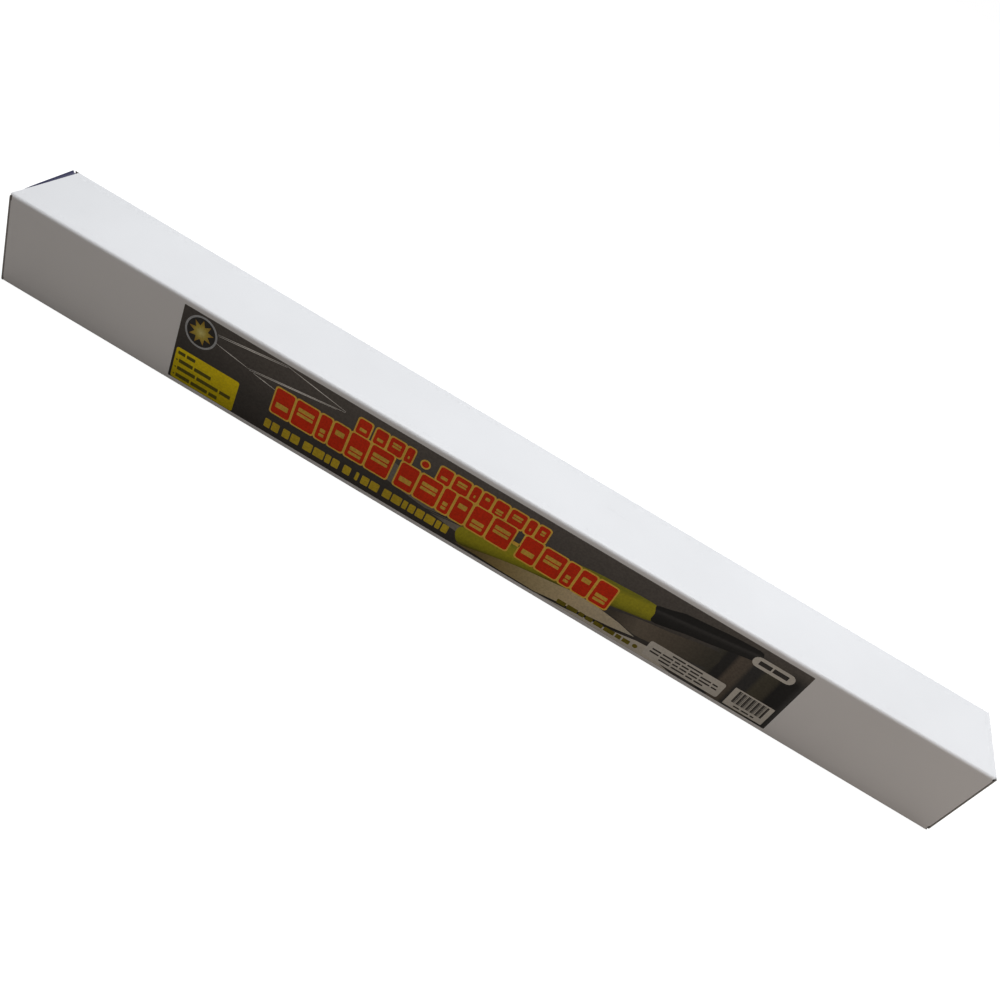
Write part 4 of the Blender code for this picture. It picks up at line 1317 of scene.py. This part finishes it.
def build_baton():
    black = moulded("black_plastic", (0.015, 0.015, 0.017))
    steel = metal("spring_steel", (0.62, 0.62, 0.60))
    build_tail_cap(black)
    build_tail_contact(steel)
    build_handle(black)
    build_bay(metal("contact_brass", (0.80, 0.60, 0.28)))
    build_switch(black, steel)
    build_collar(black)
    build_tube()
    build_holders()
    build_lamp_board(steel)


# ---------------------------------------------------------------- stage

FLOOR_GLOW = 0.97
FLOOR_SIZE = 6.0
FLOOR_DROP = 0.2 * MM
WORLD_STRENGTH = 0.18
BACKDROP_STRENGTH = 1.0

# Camera: its place is in lengths of the carton, with its second number from the carton's front
LENS_MM = 34.764
YAW, PITCH, ROLL = (math.radians(angle) for angle in (0.890, 37.595, 30.203))
CAMERA_PLACE = (0.0173, -0.6723, 0.5948)


def floor_look():
    """Pale floor that shows white to the camera, and throws back a little warm light."""
    look = Look("pale_floor", grey(0.9), 0.9, **{"Specular IOR Level": 0.0, "Emission Color": grey(1.0)})
    camera_ray = look.node("LightPath", {}, "Is Camera Ray")
    look.fill(look.shader, {"Emission Strength": look.math("MULTIPLY", camera_ray, FLOOR_GLOW)})
    look.color(look.blend(camera_ray, (0.30, 0.27, 0.24), look.mottle(grey(0.25), 3.0, 0.02)))
    return look.material


def build_floor():
    """Pale floor, just below the part."""
    bm = bmesh.new()
    bmesh.ops.create_grid(bm, x_segments=1, y_segments=1, size=FLOOR_SIZE)
    bmesh.ops.translate(bm, verts=bm.verts, vec=(0, 0, -FLOOR_DROP))
    finish_piece("floor", bm, [floor_look()])


def build_world():
    """White backdrop for the camera, and much less light from it on the part."""
    world = bpy.data.worlds.new("studio")
    bpy.context.scene.world = world
    world.use_nodes = True
    tree = world.node_tree
    back = tree.nodes["Background"]
    path = tree.nodes.new("ShaderNodeLightPath")
    strength = tree.nodes.new("ShaderNodeMapRange")
    tree.links.new(path.outputs["Is Camera Ray"], strength.inputs["Value"])
    strength.inputs["To Min"].default_value = WORLD_STRENGTH
    strength.inputs["To Max"].default_value = BACKDROP_STRENGTH
    tree.links.new(strength.outputs[0], back.inputs["Strength"])
    back.inputs["Color"].default_value = (1.0, 1.0, 1.0, 1.0)


def build_light(name, place, target, size, power, color):
    """A soft rectangular lamp that points at its target."""
    light = bpy.data.lights.new(name, "AREA")
    light.shape = "RECTANGLE"
    light.size, light.size_y = size
    light.energy = power
    light.color = color
    lamp = bpy.data.objects.new(name, light)
    bpy.context.scene.collection.objects.link(lamp)
    lamp.location = place
    lamp.rotation_euler = (Vector(target) - Vector(place)).to_track_quat("-Z", "Y").to_euler()


def build_camera():
    """Camera at the photograph's angle, which is tilted to one side."""
    forward = Vector((-math.sin(YAW) * math.cos(PITCH), math.cos(YAW) * math.cos(PITCH), -math.sin(PITCH)))
    level = Vector((math.cos(YAW), math.sin(YAW), 0))
    above = level.cross(forward)
    right = math.cos(ROLL) * level + math.sin(ROLL) * above
    up = math.cos(ROLL) * above - math.sin(ROLL) * level
    place = Vector(CAMERA_PLACE) * 2 * HALF_X - Vector((0, HALF_Y, 0))
    camera = bpy.data.objects.new("camera", bpy.data.cameras.new("camera"))
    camera.data.lens = LENS_MM
    bpy.context.scene.collection.objects.link(camera)
    camera.matrix_world = Matrix.Translation(place) @ Matrix((right, up, -forward)).transposed().to_4x4()
    bpy.context.scene.camera = camera


bpy.context.scene.view_settings.view_transform = "Standard"
build_floor()
build_world()
build_light("overhead", place=(0.1, 0.45, 1.3), target=(0, 0.05, 0), size=(1.6, 0.9), power=20.5,
            color=(0.97, 0.98, 1.0))
build_light("low_fill", place=(0.85, -1.0, 0.40), target=(0.12, 0, 0.03), size=(1.0, 0.6), power=2.25,
            color=(1.0, 0.83, 0.70))
build_camera()
build_sleeve()
for end in ("right", "left"):
    build_lid(end)
    build_tuck(end)
    for wall in ("front", "back"):
        build_dust_flap(end, wall)
build_label()
build_baton()
